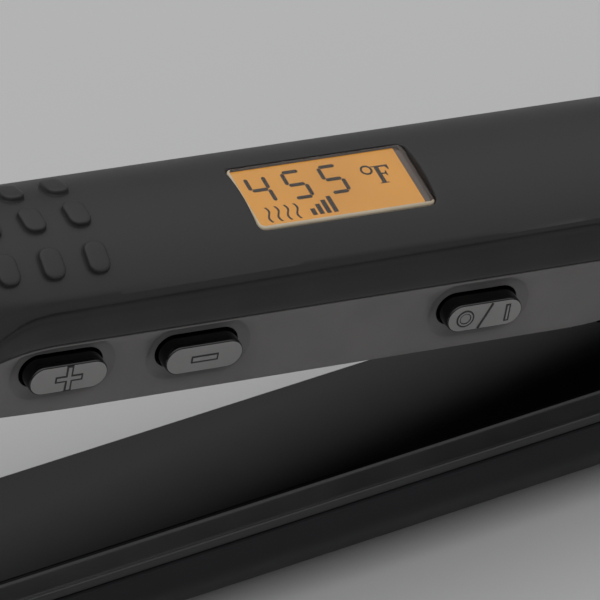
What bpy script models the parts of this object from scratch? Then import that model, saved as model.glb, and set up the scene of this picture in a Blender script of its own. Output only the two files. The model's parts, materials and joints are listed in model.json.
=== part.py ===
"""Hair straightener with two hinged arms, a control strip and a digital display.

All dimensions below are millimetres, turned into metres when a mesh is made.
X runs from the plate end (-X) to the hinge (+X), the buttons face -Y, +Z is up.
The lower arm lies on the flat of its shell at Z = 0. The upper arm is drawn
closed, with its origin on the hinge pin, and an empty then opens it.
"""

import math

import bmesh
import bpy
from mathutils import Matrix, Vector

# ---------------------------------------------------------------- dimensions
MM = 0.001
GAP = 0.3                      # space left between pieces that touch

PIN_X = 125.9                  # hinge pin
MID_Z = 17.5                   # plane where the closed arms meet
OPEN_DEG = 10.33               # opening of the arms at rest

TIP_X = -146.0                 # both arms end here
HALF_W = 15.0                  # half width of an arm
TIP_ROUND = 8.0                # length of the rounded tip
TIP_HALF_W = 10.0
WALL = 1.8                     # shell wall

CROWN_R = 19.75                # radius across the top of the upper arm
CROWN_TOP = 41.3               # its height over the table, arms closed
TIP_TOP = 34.5                 # the same over the plates
TAPER_X = (-112.0, -60.0)      # where the height changes
SHOULDER_DEG = 33.0            # the crown ends at this angle on the button side
FAR_DEG = 40.0                 # and at this angle on the far side
FAR_WALL_DROP = 9.6            # the far wall starts this far under the crown's top
UPPER_REAR_ROUND = 7.0         # length of the rounded rear of the upper shell
REAR_WIDTH = (0.80, 0.70)      # share of the width left at the rear, upper and lower
TIP_DROP = 4.0                 # how much a section shrinks in height at a tip
UPPER_REAR_DROP = 5.0          # the same at the rear of the upper shell
LOWER_REAR_DROP = 1.2          # and at the rear of the lower shell

EDGE_Z = 18.5                  # lower edge of the upper arm
EDGE_REAR_Z = 24.0             # the same edge behind the control strip
EDGE_TIP_Z = 19.0
STRIP_TOP_Z = 29.75
STRIP_X = (-57.0, 68.0)        # pointed ends of the control strip
STRIP_FLAT_X = (-40.0, 52.0)   # its top edge is straight between these
STRIP_T = 1.6
STEP_Z = 33.9                  # soft step over the strip
STEP_SLOPE = 0.0128
STEP_Y = -12.6
STEP_END_X = -54.5
UPPER_END_X = 113.0            # rear end of the upper shell
RIM_X = (-142.0, 112.0)        # recess in the shell that holds the inner frame

BUTTONS = {"plus": -38.9, "minus": -18.4, "power": 25.1}
BUTTON_Z = 25.0
BUTTON_SLOPE = -0.011
BUTTON_FACE = (11.4, 4.3)
BUTTON_BASE = (13.4, 6.2)
BUTTON_PROUD = 2.0

DISPLAY = (5.4, -3.0)          # centre of the window
DISPLAY_TILT = 8.7             # degrees towards the buttons
WINDOW = (27.7, 11.1)

GRIP_COLUMNS = 6
GRIP_LAST_X = -33.3
GRIP_PITCH = 6.68
GRIP_ROWS = (-9.3, -2.2, 4.9)
GRIP_PAD = (3.2, 4.6)
GRIP_CORNER = 1.35
GRIP_PROUD = 0.75
GRIP_ROOT = 1.2                # how far a pad reaches into the shell

LOWER_END_X = 142.0
RIM_Z = 13.8                   # top edge of the lower shell
FRAME_BOTTOM_Z = RIM_Z + GAP
FRAME_INSET = 0.7              # the inner face ends this far inside the shell's side
FACE_Z = 16.5                  # inner face of the lower arm
FACE_HALF_W = 10.3
LEDGE_Z = 15.4
REST_HALF_W = 7.5              # flat under the lower arm
SIDE_Z = 10.2                  # the lower shell's side is upright from here
SIDE_RISE = 5.0                # or from this far over the flat, if that is higher
TIP_FLOOR = 2.2                # height of that flat under the plates
FRAME_END_X = 103.7
YOKE_X = 104.0

PLATE_X = (-138.6, -52.4)
PLATE_HALF_W = 12.0
PLATE_TOP_Z = 17.3
SCREW_X = (-47.5, 96.0)        # screws of the lower arm's inner face
UPPER_SCREW_X = (-47.5, 88.0)  # and of the upper arm's
HINGE_SCREW = (110.0, 6.2)     # yoke screws, x and distance from the middle
KNUCKLE_SCREW_X = 106.0
PILOT_R = 1.4                  # bore for a screw's shank
SEAT_R = 2.6                   # seat for a screw's head
SEAT_DEPTH = 1.25
POST_R = 3.2                   # posts behind the plates' cushions
POST_TOP_Z = 5.2
BEYOND = 40.0                  # cutters reach up to here, past every piece

PIN_R = 2.0
KNUCKLE_R = 7.0
KNUCKLE_HALF_W = 11.1
EAR_R = 9.0
SHROUD_R = (7.4, 8.6)
GLAND_Z = 7.9
SPRING_LEG_Y = (1.8, 4.7)      # slot in the upper arm for the spring's leg

COLOURS = {
    "shell": ((0.040, 0.040, 0.042), 0.55, 0.0),
    "strip": ((0.066, 0.064, 0.062), 0.50, 0.0),
    "gloss": ((0.012, 0.012, 0.013), 0.25, 0.0),
    "button": ((0.055, 0.055, 0.055), 0.35, 0.0),
    "lens": ((0.85, 0.80, 0.70), 0.05, 0.0),
    "lcd": ((0.48, 0.24, 0.05), 0.35, 0.0),
    "white": ((0.80, 0.80, 0.78), 0.50, 0.0),
    "board": ((0.02, 0.16, 0.07), 0.45, 0.0),
    "coating": ((0.10, 0.09, 0.09), 0.25, 0.6),
    "aluminium": ((0.70, 0.71, 0.72), 0.35, 1.0),
    "steel": ((0.55, 0.55, 0.56), 0.25, 1.0),
    "silicone": ((0.45, 0.10, 0.06), 0.60, 0.0),
    "film": ((0.45, 0.24, 0.05), 0.40, 0.0),
    "rubber": ((0.030, 0.030, 0.030), 0.70, 0.0),
}


# ---------------------------------------------------------------- small tools
def material(kind):
    found = bpy.data.materials.get(kind)
    if found:
        return found
    colour, roughness, metallic = COLOURS[kind]
    made = bpy.data.materials.new(kind)
    made.use_nodes = True
    shader = made.node_tree.nodes["Principled BSDF"]
    shader.inputs["Base Color"].default_value = (*colour, 1.0)
    shader.inputs["Roughness"].default_value = roughness
    shader.inputs["Metallic"].default_value = metallic
    return made


def to_object(name, bm, kind="shell"):
    bmesh.ops.recalc_face_normals(bm, faces=bm.faces[:])
    bmesh.ops.scale(bm, vec=(MM, MM, MM), verts=bm.verts[:])
    mesh = bpy.data.meshes.new(name)
    bm.to_mesh(mesh)
    bm.free()
    mesh.materials.append(material(kind))
    made = bpy.data.objects.new(name, mesh)
    bpy.context.scene.collection.objects.link(made)
    return made


def loft(name, rings, kind="shell"):
    """A closed skin through rings that all have the same number of points."""
    bm = bmesh.new()
    rows = [[bm.verts.new(p) for p in ring] for ring in rings]
    count = len(rows[0])
    for first, second in zip(rows, rows[1:]):
        for i in range(count):
            j = (i + 1) % count
            bm.faces.new((first[i], first[j], second[j], second[i]))
    bmesh.ops.triangulate(bm, faces=bm.faces[:])
    bm.faces.new(rows[0])
    bm.faces.new(rows[-1][::-1])
    return to_object(name, bm, kind)


def prism(name, outline, axis, low, high, kind="shell", bevel=0.0):
    """An outline in the two axes after `axis`, extruded along it."""
    order = {"x": (1, 2, 0), "y": (0, 2, 1), "z": (0, 1, 2)}[axis]

    def point(u, v, w):
        p = [0.0, 0.0, 0.0]
        p[order[0]], p[order[1]], p[order[2]] = u, v, w
        return p

    bm = bmesh.new()
    face = bm.faces.new([bm.verts.new(point(u, v, low)) for u, v in outline])
    pushed = bmesh.ops.extrude_face_region(bm, geom=[face])["geom"]
    verts = [g for g in pushed if isinstance(g, bmesh.types.BMVert)]
    bmesh.ops.translate(bm, verts=verts, vec=point(0.0, 0.0, high - low))
    if bevel:
        bmesh.ops.bevel(
            bm, geom=bm.edges[:], offset=bevel, segments=1, affect="EDGES"
        )
    return to_object(name, bm, kind)


def box(name, low, high, kind="shell", bevel=0.0):
    outline = [
        (low[0], low[1]), (high[0], low[1]), (high[0], high[1]), (low[0], high[1])
    ]
    return prism(name, outline, "z", low[2], high[2], kind, bevel)


def circle(cu, cv, radius, sides=24):
    turn = 2.0 * math.pi / sides
    return [
        (cu + radius * math.cos(i * turn), cv + radius * math.sin(i * turn))
        for i in range(sides)
    ]


def rounded(cu, cv, length, height, radius, steps=4):
    """A rectangle with round corners; radius height / 2 makes a stadium."""
    points = []
    corners = ((1, 1, 0), (-1, 1, 90), (-1, -1, 180), (1, -1, 270))
    for su, sv, start in corners:
        u = cu + su * (length / 2 - radius)
        v = cv + sv * (height / 2 - radius)
        for i in range(steps + 1):
            a = math.radians(start + 90.0 * i / steps)
            points.append((u + radius * math.cos(a), v + radius * math.sin(a)))
    return points


def combine(target, tool, operation):
    """Apply one Boolean and drop the tool."""
    step = target.modifiers.new(operation, "BOOLEAN")
    step.operation = operation
    step.solver = "EXACT"
    step.object = tool
    graph = bpy.context.evaluated_depsgraph_get()
    result = bpy.data.meshes.new_from_object(target.evaluated_get(graph))
    target.modifiers.clear()
    target.data = result
    bpy.data.objects.remove(tool)
    return target


def cut(target, tool):
    return combine(target, tool, "DIFFERENCE")


def join(target, tool):
    return combine(target, tool, "UNION")


def smooth(target, degrees=35.0):
    target.data.shade_smooth()
    target.data.set_sharp_from_angle(angle=math.radians(degrees))
    return target


def blend(x, start, end):
    t = min(1.0, max(0.0, (x - start) / (end - start)))
    return t * t * (3.0 - 2.0 * t)


def mix(a, b, t):
    return a + (b - a) * t


def bezier(p0, p1, p2, p3, steps):
    points = []
    for i in range(steps + 1):
        t = i / steps
        s = 1.0 - t
        weights = (s ** 3, 3 * s * s * t, 3 * s * t * t, t ** 3)
        points.append(tuple(
            sum(w * p[k] for w, p in zip(weights, (p0, p1, p2, p3)))
            for k in range(2)
        ))
    return points


# ---------------------------------------------------------------- arm outlines
def end_round(x, rear_x=None, rear_round=8.0):
    """1 along the arm, falling to 0 at its rounded tip and rear."""
    d = max(0.0, (TIP_X + TIP_ROUND - x) / TIP_ROUND)
    if rear_x is not None:
        d = max(d, (x - rear_x + rear_round) / rear_round)
    return math.sqrt(max(0.0, 1.0 - min(1.0, d) ** 2))


def top_z(x):
    return mix(TIP_TOP, CROWN_TOP, blend(x, *TAPER_X))


def edge_z(x):
    """Lower edge of the upper shell and of the control strip."""
    rear = mix(EDGE_Z, EDGE_REAR_Z, blend(x, 40.0, 74.0))
    return mix(EDGE_TIP_Z, rear, blend(x, -58.0, -34.0))


def quarter(x, start, end):
    """Falls from 1 to 0 like a quarter ellipse as x goes from start to end."""
    d = min(1.0, max(0.0, (x - start) / (end - start)))
    return math.sqrt(1.0 - d * d)


def strip_top(x):
    if x < STRIP_FLAT_X[0]:
        low = edge_z(STRIP_X[0])
        return mix(low, STRIP_TOP_Z, quarter(x, STRIP_FLAT_X[0], STRIP_X[0]))
    low = edge_z(STRIP_X[1])
    return mix(low, STRIP_TOP_Z, quarter(x, STRIP_FLAT_X[1], STRIP_X[1]))


def step_depth(x):
    """How far the soft step over the strip is developed, from 0 to 1."""
    return blend(x, -56.0, -44.0) * (1.0 - blend(x, 66.0, 108.0))


def step_z(x):
    high = STEP_Z + STEP_SLOPE * x
    if x < STRIP_FLAT_X[0]:
        return mix(edge_z(x) + 1.5, high, quarter(x, STRIP_FLAT_X[0], STEP_END_X))
    return high


def upper_ring(x):
    """Section of the upper shell, from the button side over to the far side."""
    top = top_z(x)
    depth = step_depth(x)
    end = end_round(x, UPPER_END_X, UPPER_REAR_ROUND)
    edge = edge_z(x)
    wall_top = max(mix(edge + 1.0, STRIP_TOP_Z, depth), strip_top(x))
    step = max(wall_top + 1.2, step_z(x))
    step_y = mix(-HALF_W, STEP_Y, depth)
    vertical = mix(top - 11.0, step + 1.2, depth)
    step = min(step, vertical - 1.0)
    wall_top = min(wall_top, step - 1.0)

    def crown(degrees):
        a = math.radians(degrees)
        return (CROWN_R * math.sin(a), top - CROWN_R * (1.0 - math.cos(a)))

    def shoulder(degrees, foot, reach):
        y, z = crown(degrees)
        a = math.radians(degrees)
        side = 1.0 if degrees > 0.0 else -1.0
        pull = (y + side * reach * math.cos(a), z - reach * abs(math.sin(a)))
        return bezier((y, z), pull, (foot[0], foot[1] + reach), foot, 4)

    near_reach = mix(3.6, 1.9, depth)
    near = shoulder(-SHOULDER_DEG, (step_y, vertical), near_reach)[::-1]
    far = shoulder(FAR_DEG, (HALF_W, top - FAR_WALL_DROP), 2.6)
    points = [(-HALF_W, edge), (-HALF_W, mix(edge, wall_top, 0.5))]
    points.append((-HALF_W, wall_top - 0.25))
    points.append((-HALF_W + 0.2 * depth, wall_top))
    points.append((mix(-HALF_W, step_y, 0.55), mix(wall_top, step, 0.55)))
    points.append((step_y - 0.25 * depth, step - 0.3))
    points.append((step_y, step + 0.25))
    points.extend(near)
    steps = 10
    for i in range(1, steps):
        points.append(crown(mix(-SHOULDER_DEG, FAR_DEG, i / steps)))
    points.extend(far)
    points.append((HALF_W, mix(edge, top - FAR_WALL_DROP, 0.5)))
    points.append((HALF_W, edge))
    rear = x > 0.0
    width = mix(REAR_WIDTH[0] if rear else TIP_HALF_W / HALF_W, 1.0, end)
    drop = mix(UPPER_REAR_DROP if rear else TIP_DROP, 0.0, end)
    ring = []
    for y, z in points:
        lift = (z - edge) / (top - edge)
        ring.append((x, y * width, z - drop * lift))
    return ring


def floor_z(x):
    """Underside of the lower arm, which rises a little under the plates."""
    return mix(TIP_FLOOR, 0.0, blend(x, *TAPER_X))


def lower_ring(x, inset=0.0, rim=RIM_Z):
    """Section of the lower shell, open side up; inset makes its cavity."""
    end = end_round(x, LOWER_END_X)
    floor = floor_z(x) + inset
    rear = x > 0.0
    floor += mix(LOWER_REAR_DROP if rear else TIP_DROP, 0.0, end)
    width = mix(REAR_WIDTH[1] if rear else TIP_HALF_W / HALF_W, 1.0, end)
    half = HALF_W - inset
    side_z = max(SIDE_Z, floor + SIDE_RISE)
    curve = bezier((REST_HALF_W, floor), (REST_HALF_W + 0.9, floor),
                   (half, mix(floor, side_z, 0.667)), (half, side_z), 6)
    half_ring = [(half - 0.4, rim), (half, rim - 1.0)] + curve[::-1]
    points = [(-y, z) for y, z in half_ring] + half_ring[::-1]
    return [(x, y * width, z) for y, z in points]


def frame_ring(x, rear_end=None):
    """Section of the lower arm's inner face, rounded at the tip and rear end."""
    end = end_round(x, rear_end)
    width = mix(REAR_WIDTH[1] if x > 0.0 else TIP_HALF_W / HALF_W, 1.0, end)
    half = HALF_W - FRAME_INSET
    profile = [
        (half, FRAME_BOTTOM_Z), (half, LEDGE_Z - 0.3), (half - 0.3, LEDGE_Z),
        (FACE_HALF_W + 0.4, FACE_Z - 0.1), (FACE_HALF_W, FACE_Z),
    ]
    points = [(-y, z) for y, z in profile] + profile[::-1]
    return [(x, y * width, z) for y, z in points]


def stations(first, last, extra=(), spacing=8.0):
    """X positions from first to last, closer together where `extra` says."""
    count = max(1, round((last - first) / spacing))
    values = [mix(first, last, i / count) for i in range(count + 1)]
    kept = [v for v in values if all(abs(v - e) > 1.2 for e in extra)]
    ends = {first, last}
    return sorted(set(kept) | ends | {e for e in extra if first < e < last})


TIP_STATIONS = tuple(TIP_X + TIP_ROUND * (1.0 - math.cos(math.radians(a)))
                     for a in (18, 36, 54, 72, 90))


def rear_stations(end_x, length):
    return tuple(end_x - length * (1.0 - math.cos(math.radians(a)))
                 for a in (18, 36, 54, 72, 90))


# ---------------------------------------------------------------- upper arm
def grip_pads(shell):
    """Raised pads across the crown, moulded with the shell."""
    for column in range(GRIP_COLUMNS):
        x = GRIP_LAST_X - GRIP_PITCH * column
        drop = CROWN_TOP - top_z(x)
        for row in GRIP_ROWS:
            angle = math.asin(row / CROWN_R)
            outline = rounded(0.0, 0.0, *GRIP_PAD, GRIP_CORNER, 2)
            pad = prism("pad", outline, "z", -GRIP_ROOT, GRIP_PROUD)
            foot = Vector((x, row, CROWN_TOP - drop - CROWN_R * (1 - math.cos(angle))))
            turn = Matrix.Rotation(-angle, 4, "X")
            pad.data.transform(Matrix.Translation(foot * MM) @ turn)
            join(shell, pad)


def display_space(tool):
    """Move a shape drawn flat at Z = 0 onto the crown at the display."""
    angle = math.radians(DISPLAY_TILT)
    top = CROWN_TOP - CROWN_R * (1.0 - math.cos(angle))
    place = Matrix.Translation(Vector((*DISPLAY, top)) * MM)
    tool.data.transform(place @ Matrix.Rotation(angle, 4, "X"))
    return tool


def button_z(x):
    return BUTTON_Z + BUTTON_SLOPE * x


def below_curve(name, curve, first, last, low, y_low, y_high, kind="shell", shift=0.0):
    """A slab whose top edge follows a curve along X."""
    count = 26
    top = []
    for i in range(count + 1):
        t = 0.5 - 0.5 * math.cos(math.pi * i / count)
        x = mix(first, last, t)
        top.append((x, curve(x) + shift))
    return prism(name, [(last, low), (first, low)] + top, "y", y_low, y_high, kind)


def upper_shell():
    extra = TIP_STATIONS + (-57.0, -55.0, -52.0, -49.0, -46.0, -43.0, -40.0)
    extra += rear_stations(UPPER_END_X, UPPER_REAR_ROUND)
    shell = loft("upper_shell", [upper_ring(x) for x in
                                 stations(TIP_X, UPPER_END_X, extra, 9.0)])
    grip_pads(shell)

    def hollow(x, near):
        top = top_z(x) - WALL
        far_y = HALF_W - WALL
        points = [(-near, 0.0), (-near, top - 8.4), (-9.5, top - 2.9),
                  (-5.0, top - 0.8), (0.0, top), (5.0, top - 0.8),
                  (9.5, top - 3.1), (far_y, top - 9.0), (far_y, 0.0)]
        return [(x, y, z) for y, z in points]

    front = [hollow(x, HALF_W - WALL) for x in
             (-136.0, -120.0, -104.0, -96.0, -86.0, -76.0, -66.0, -50.0)]
    rear = [hollow(x, 11.4) for x in (-50.5, 104.5)]
    cut(shell, loft("front_cavity", front))
    cut(shell, loft("rear_cavity", rear))
    cut(shell, box("tip_cavity", (RIM_X[0], -12.4, 0.0), (-135.0, 12.4, 26.0)))
    floor = EDGE_Z + 2.2
    cut(shell, box("rim", (RIM_X[0], -13.4, 0.0), (RIM_X[1], 13.3, floor)))
    cut(shell, box("knuckle_way", (100.0, -11.4, 0.0), (120.0, 11.4, 27.6)))

    pocket = below_curve("pocket", strip_top, *STRIP_X, 0.0, -20.0, -13.1)
    cut(shell, pocket)
    for x in BUTTONS.values():
        outline = rounded(x, button_z(x), 16.2, 8.4, 4.1)
        cut(shell, prism("button_way", outline, "y", -20.0, -10.0))

    window = prism("window", rounded(0.0, 0.0, *WINDOW, 1.2), "z", -6.0, 4.0)
    cut(shell, display_space(window))
    seat = prism("seat", rounded(0.0, 0.0, 30.2, 13.2, 0.8), "z", -9.0, -2.15)
    cut(shell, display_space(seat))

    for x in UPPER_SCREW_X:
        boss = prism("boss", circle(x, 0.0, 3.0), "z", floor, BEYOND)
        cut(boss, prism("bore", circle(x, 0.0, PILOT_R), "z", 0.0, 31.0))
        join(shell, boss)
    for x in cushion_places():
        post = prism("post", circle(x, 0.0, POST_R), "z", 2 * MID_Z - POST_TOP_Z,
                     top_z(x) - 1.0)
        join(shell, post)
    return smooth(shell)


def control_strip():
    x0, x1 = STRIP_X[0] + 0.8, STRIP_X[1] - 1.5
    count = 30
    upper = []
    lower = []
    for i in range(count + 1):
        t = 0.5 - 0.5 * math.cos(math.pi * i / count)
        x = mix(x0, x1, t)
        low = edge_z(x)
        lower.append((x, low))
        upper.append((x, max(low + 0.15, strip_top(x) - GAP)))
    outline = lower + upper[::-1]
    back = -HALF_W + STRIP_T
    strip = prism("control_strip", outline, "y", -HALF_W, back, "strip")
    for x in BUTTONS.values():
        hole = rounded(x, button_z(x), BUTTON_BASE[0] + 0.6, BUTTON_BASE[1] + 0.6,
                       BUTTON_BASE[1] / 2 + 0.3, 6)
        cut(strip, prism("hole", hole, "y", -20.0, -10.0))
    return smooth(strip)


def button(name, x):
    """A flared cap with a flange behind the strip; origin at its face."""
    face_y = -HALF_W - BUTTON_PROUD
    layers = [
        (0.0, BUTTON_FACE[0] - 0.5, BUTTON_FACE[1] - 0.5),
        (0.25, BUTTON_FACE[0], BUTTON_FACE[1]),
        (BUTTON_PROUD, BUTTON_BASE[0] - 0.1, BUTTON_BASE[1] - 0.1),
        (3.9, BUTTON_BASE[0], BUTTON_BASE[1]),
        (3.9, BUTTON_BASE[0] + 1.8, BUTTON_BASE[1] + 1.4),
        (4.8, BUTTON_BASE[0] + 1.8, BUTTON_BASE[1] + 1.4),
    ]
    rings = []
    for depth, length, height in layers:
        outline = rounded(0.0, 0.0, length, height, height / 2, 6)
        rings.append([(u, depth, v) for u, v in outline])
    cap = loft(name, rings, "button")
    stem = prism("stem", circle(0.0, 0.0, 1.5, 16), "y", 4.0, 5.4)
    join(cap, stem)
    cap.location = (x * MM, face_y * MM, button_z(x) * MM)
    return smooth(cap)


def tact_switch(name, x):
    z = button_z(x)
    body = box(name, (x - 3.0, -10.2, z - 3.0), (x + 3.0, -8.6, z + 3.0), "gloss", 0.2)
    join(body, prism("plunger", circle(x, z, 1.6, 16), "y", -10.5, -9.8))
    return body


def display_unit():
    slabs = (
        ("display_lens", (WINDOW[0] - 0.6, WINDOW[1] - 0.6, 0.95), -2.15, -0.95, "lens"),
        ("lcd_panel", (29.4, 12.4, 0.4), -3.60, -2.45, "lcd"),
        ("lcd_backlight", (28.4, 11.8, 0.4), -6.40, -3.90, "white"),
        ("display_board", (42.0, 15.6, 1.0), -7.90, -6.70, "board"),
    )
    made = []
    for name, (length, width, radius), low, high, kind in slabs:
        outline = rounded(0.0, 0.0, length, width, radius)
        made.append(display_space(prism(name, outline, "z", low, high, kind)))
    return made


def upper_inner_frame():
    """Glossy tray that closes the upper arm and holds its plate."""
    frame = box("upper_inner_frame", (RIM_X[0] + GAP, -13.0, EDGE_Z),
                (RIM_X[1] - GAP, 13.0, EDGE_Z + 1.9), "gloss")
    for side in (-1.0, 1.0):
        low, high = sorted((side * 12.6, side * 14.8))
        cheek = below_curve("cheek", edge_z, 45.5, RIM_X[1] - GAP, EDGE_Z,
                            low, high, "gloss", -GAP)
        join(frame, cheek)
    cut_plate_opening(frame)
    for x in UPPER_SCREW_X:
        cut_screw_seat(frame, x, 0.0, EDGE_Z, 1.0)
    for side in (-1.0, 1.0):
        cut_screw_seat(frame, KNUCKLE_SCREW_X, side * HINGE_SCREW[1], EDGE_Z, 1.0)
    cut(frame, box("spring_way", (104.0, SPRING_LEG_Y[0], 0.0),
                   (120.0, SPRING_LEG_Y[1], 30.0)))
    return smooth(frame)


def knuckle():
    """Barrel round the pin with a tongue fixed inside the upper arm."""
    barrel = prism("upper_hinge_knuckle", circle(PIN_X, MID_Z, KNUCKLE_R, 28), "y",
                   -KNUCKLE_HALF_W, KNUCKLE_HALF_W, "gloss")
    tongue = box("tongue", (100.5, -KNUCKLE_HALF_W, 20.75),
                 (121.5, KNUCKLE_HALF_W, 24.4))
    join(barrel, tongue)
    bay_y = SPRING_LEG_Y[1]
    cut(barrel, box("spring_bay", (117.5, -bay_y, 0.0), (140.0, bay_y, BEYOND)))
    cut(barrel, box("leg_way", (103.0, SPRING_LEG_Y[0], 0.0), (118.5, bay_y, BEYOND)))
    cut(barrel, prism("bore", circle(PIN_X, MID_Z, PIN_R + GAP), "y", -20.0, 20.0))
    for side in (-1.0, 1.0):
        bore = circle(KNUCKLE_SCREW_X, side * HINGE_SCREW[1], PILOT_R, 16)
        cut(barrel, prism("bore", bore, "z", 0.0, BEYOND))
    return smooth(barrel)


# ---------------------------------------------------------------- both arms
def cut_plate_opening(frame):
    low, high = PLATE_X
    half = PLATE_HALF_W + GAP
    cut(frame, box("opening", (low - GAP, -half, 0.0), (high + GAP, half, BEYOND)))


def cut_screw_seat(frame, x, y, face, outwards):
    """A through bore with a wider seat sunk from the inner face."""
    cut(frame, prism("bore", circle(x, y, PILOT_R, 16), "z", 0.0, BEYOND))
    low, high = sorted((face - 5.0 * outwards, face + SEAT_DEPTH * outwards))
    cut(frame, prism("seat", circle(x, y, SEAT_R, 20), "z", low, high))


def screw(name, x, y, face, inwards, length=8.0):
    """Pan head with a cross slot; inwards is +1 up into the arm, -1 down."""
    def span(a, b):
        return sorted((face + inwards * a, face + inwards * b))

    head = prism(name, circle(x, y, 2.2, 20), "z", *span(0.1, 0.95), "steel")
    join(head, prism("shank", circle(x, y, 1.1, 12), "z", *span(0.5, length)))
    low, high = span(-1.0, 0.6)
    cut(head, box("slot", (x - 1.4, y - 0.25, low), (x + 1.4, y + 0.25, high)))
    cut(head, box("slot", (x - 0.25, y - 1.4, low), (x + 0.25, y + 1.4, high)))
    return smooth(head)


def cushion_places():
    centre = sum(PLATE_X) / 2.0
    return (centre - 27.0, centre + 27.0)


def heater_set(prefix, upper):
    """Floating plate with its element, clamp, cushions and sensor."""
    def span(a, b):
        if not upper:
            return (a, b)
        return (2 * MID_Z - b, 2 * MID_Z - a)

    x0, x1 = PLATE_X
    low, high = span(12.6, PLATE_TOP_Z)
    plate = prism(prefix + "_heater_plate", plate_outline(low, high, upper), "x",
                  x0, x1, "coating")
    channel_low, channel_high = span(10.0, 15.1)
    cut(plate, box("channel", (x0 - 1.0, -10.2, channel_low), (x1 + 1.0, 10.2, channel_high)))
    tab_low, tab_high = span(12.6, 13.75)
    for a, b in ((x0 - 1.6, x0 + 2.0), (x1 - 2.0, x1 + 1.6)):
        join(plate, box("tab", (a, -11.0, tab_low), (b, 11.0, tab_high)))
    low, high = span(12.4, 14.8)
    element = box(prefix + "_heating_element", (x0 + 9.0, -6.5, low),
                  (x1 - 9.0, 6.5, high), "film", 0.3)
    low, high = span(10.9, 12.1)
    clamp = box(prefix + "_heater_clamp", (x0 + 7.0, -8.5, low), (x1 - 7.0, 8.5, high),
                "aluminium", 0.25)
    pieces = [smooth(plate), element, clamp]
    low, high = span(6.5, 10.6)
    for place, x in zip(("front", "rear"), cushion_places()):
        cushion = prism("%s_cushion_%s" % (prefix, place), circle(x, 0.0, 3.6, 20), "z",
                        low, high, "silicone")
        pieces.append(smooth(cushion))
    low, high = span(8.6, 10.6)
    name = "upper_thermistor" if upper else "lower_thermal_fuse"
    middle = sum(PLATE_X) / 2.0
    pieces.append(box(name, (middle - 5.0, -2.4, low), (middle + 5.0, 2.4, high),
                      "white", 0.5))
    return pieces


def plate_outline(low, high, upper):
    """Flat working face with rounded long edges."""
    face, back = (low, high) if upper else (high, low)
    away = 1.0 if upper else -1.0
    half = PLATE_HALF_W
    side = [(half - 0.9, face), (half - 0.35, face + 0.2 * away),
            (half, face + 0.9 * away), (half, back)]
    return [(-y, z) for y, z in side[::-1]] + side


def tube(name, route, radius, kind, sides=6):
    """A wire along a smooth curve through the route's points."""
    data = bpy.data.curves.new(name, "CURVE")
    data.dimensions = "3D"
    data.bevel_depth = radius * MM
    data.bevel_resolution = max(0, sides // 4 - 1)
    data.use_fill_caps = True
    line = data.splines.new("POLY")
    line.points.add(len(route) - 1)
    for knot, place in zip(line.points, route):
        knot.co = (place[0] * MM, place[1] * MM, place[2] * MM, 1.0)
    data.materials.append(material(kind))
    made = bpy.data.objects.new(name, data)
    bpy.context.scene.collection.objects.link(made)
    return made


def leads(name, start, end, swing, kind="silicone"):
    """A pair of leads in one sleeve, run gently along the inside of an arm."""
    count = 24
    route = []
    for i in range(count + 1):
        t = i / count
        s = t * t * (3.0 - 2.0 * t)
        wave = swing * math.sin(math.pi * t)
        route.append((mix(start[0], end[0], t), mix(start[1], end[1], s) + wave,
                      mix(start[2], end[2], s)))
    return tube(name, route, 1.1, kind, 8)


# ---------------------------------------------------------------- lower arm
def lower_shell():
    extra = TIP_STATIONS + rear_stations(LOWER_END_X, 8.0)
    xs = stations(TIP_X, LOWER_END_X, extra, 10.0)
    shell = loft("lower_shell", [lower_ring(x) for x in xs])
    inner = [x for x in xs if TIP_X + 2.4 < x < LOWER_END_X - WALL - 0.2]
    inner = [TIP_X + 2.4] + inner + [LOWER_END_X - WALL]
    cut(shell, loft("cavity", [lower_ring(x, WALL, RIM_Z + 3.0) for x in inner]))
    cut(shell, prism("gland_hole", circle(0.0, GLAND_Z, 4.5, 28), "x", 130.0, 150.0))
    for x in cushion_places():
        join(shell, prism("post", circle(x, 0.0, POST_R), "z", floor_z(x) + 0.9, POST_TOP_Z))
    bosses = [(SCREW_X[0], 0.0), (SCREW_X[1], 0.0)]
    bosses += [(HINGE_SCREW[0], side * HINGE_SCREW[1]) for side in (-1.0, 1.0)]
    for x, y in bosses:
        boss = prism("boss", circle(x, y, SEAT_R), "z", 1.6 if y else 1.0, RIM_Z)
        cut(boss, prism("bore", circle(x, y, PILOT_R, 16), "z", 4.0, 20.0))
        join(shell, boss)
    return smooth(shell)


def lower_inner_frame():
    xs = stations(TIP_X, FRAME_END_X, TIP_STATIONS, 60.0)
    frame = loft("lower_inner_frame", [frame_ring(x) for x in xs], "gloss")
    cut_plate_opening(frame)
    for x in SCREW_X:
        cut_screw_seat(frame, x, 0.0, FACE_Z, -1.0)
    return smooth(frame)


def hinge_yoke():
    """Rear part of the inner face, with an ear on each side of the knuckle."""
    xs = stations(YOKE_X, LOWER_END_X, rear_stations(LOWER_END_X, 8.0), 20.0)
    yoke = loft("hinge_yoke", [frame_ring(x, LOWER_END_X) for x in xs], "gloss")
    for side in (-1.0, 1.0):
        low, high = sorted((side * (KNUCKLE_HALF_W + GAP), side * 14.3))
        ear = prism("ear", circle(PIN_X, MID_Z, EAR_R, 32), "y", low, high)
        cut(ear, box("below", (110.0, -20.0, 0.0), (140.0, 20.0, FRAME_BOTTOM_Z)))
        join(yoke, ear)
    half = KNUCKLE_HALF_W + GAP
    cut(yoke, box("knuckle_way", (PIN_X - 9.6, -half, 0.0), (PIN_X + 9.6, half, 40.0)))
    cut(yoke, prism("bore", circle(PIN_X, MID_Z, PIN_R + GAP), "y", -20.0, 20.0))
    for side in (-1.0, 1.0):
        cut_screw_seat(yoke, HINGE_SCREW[0], side * HINGE_SCREW[1], FACE_Z, -1.0)
    return smooth(yoke)


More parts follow.
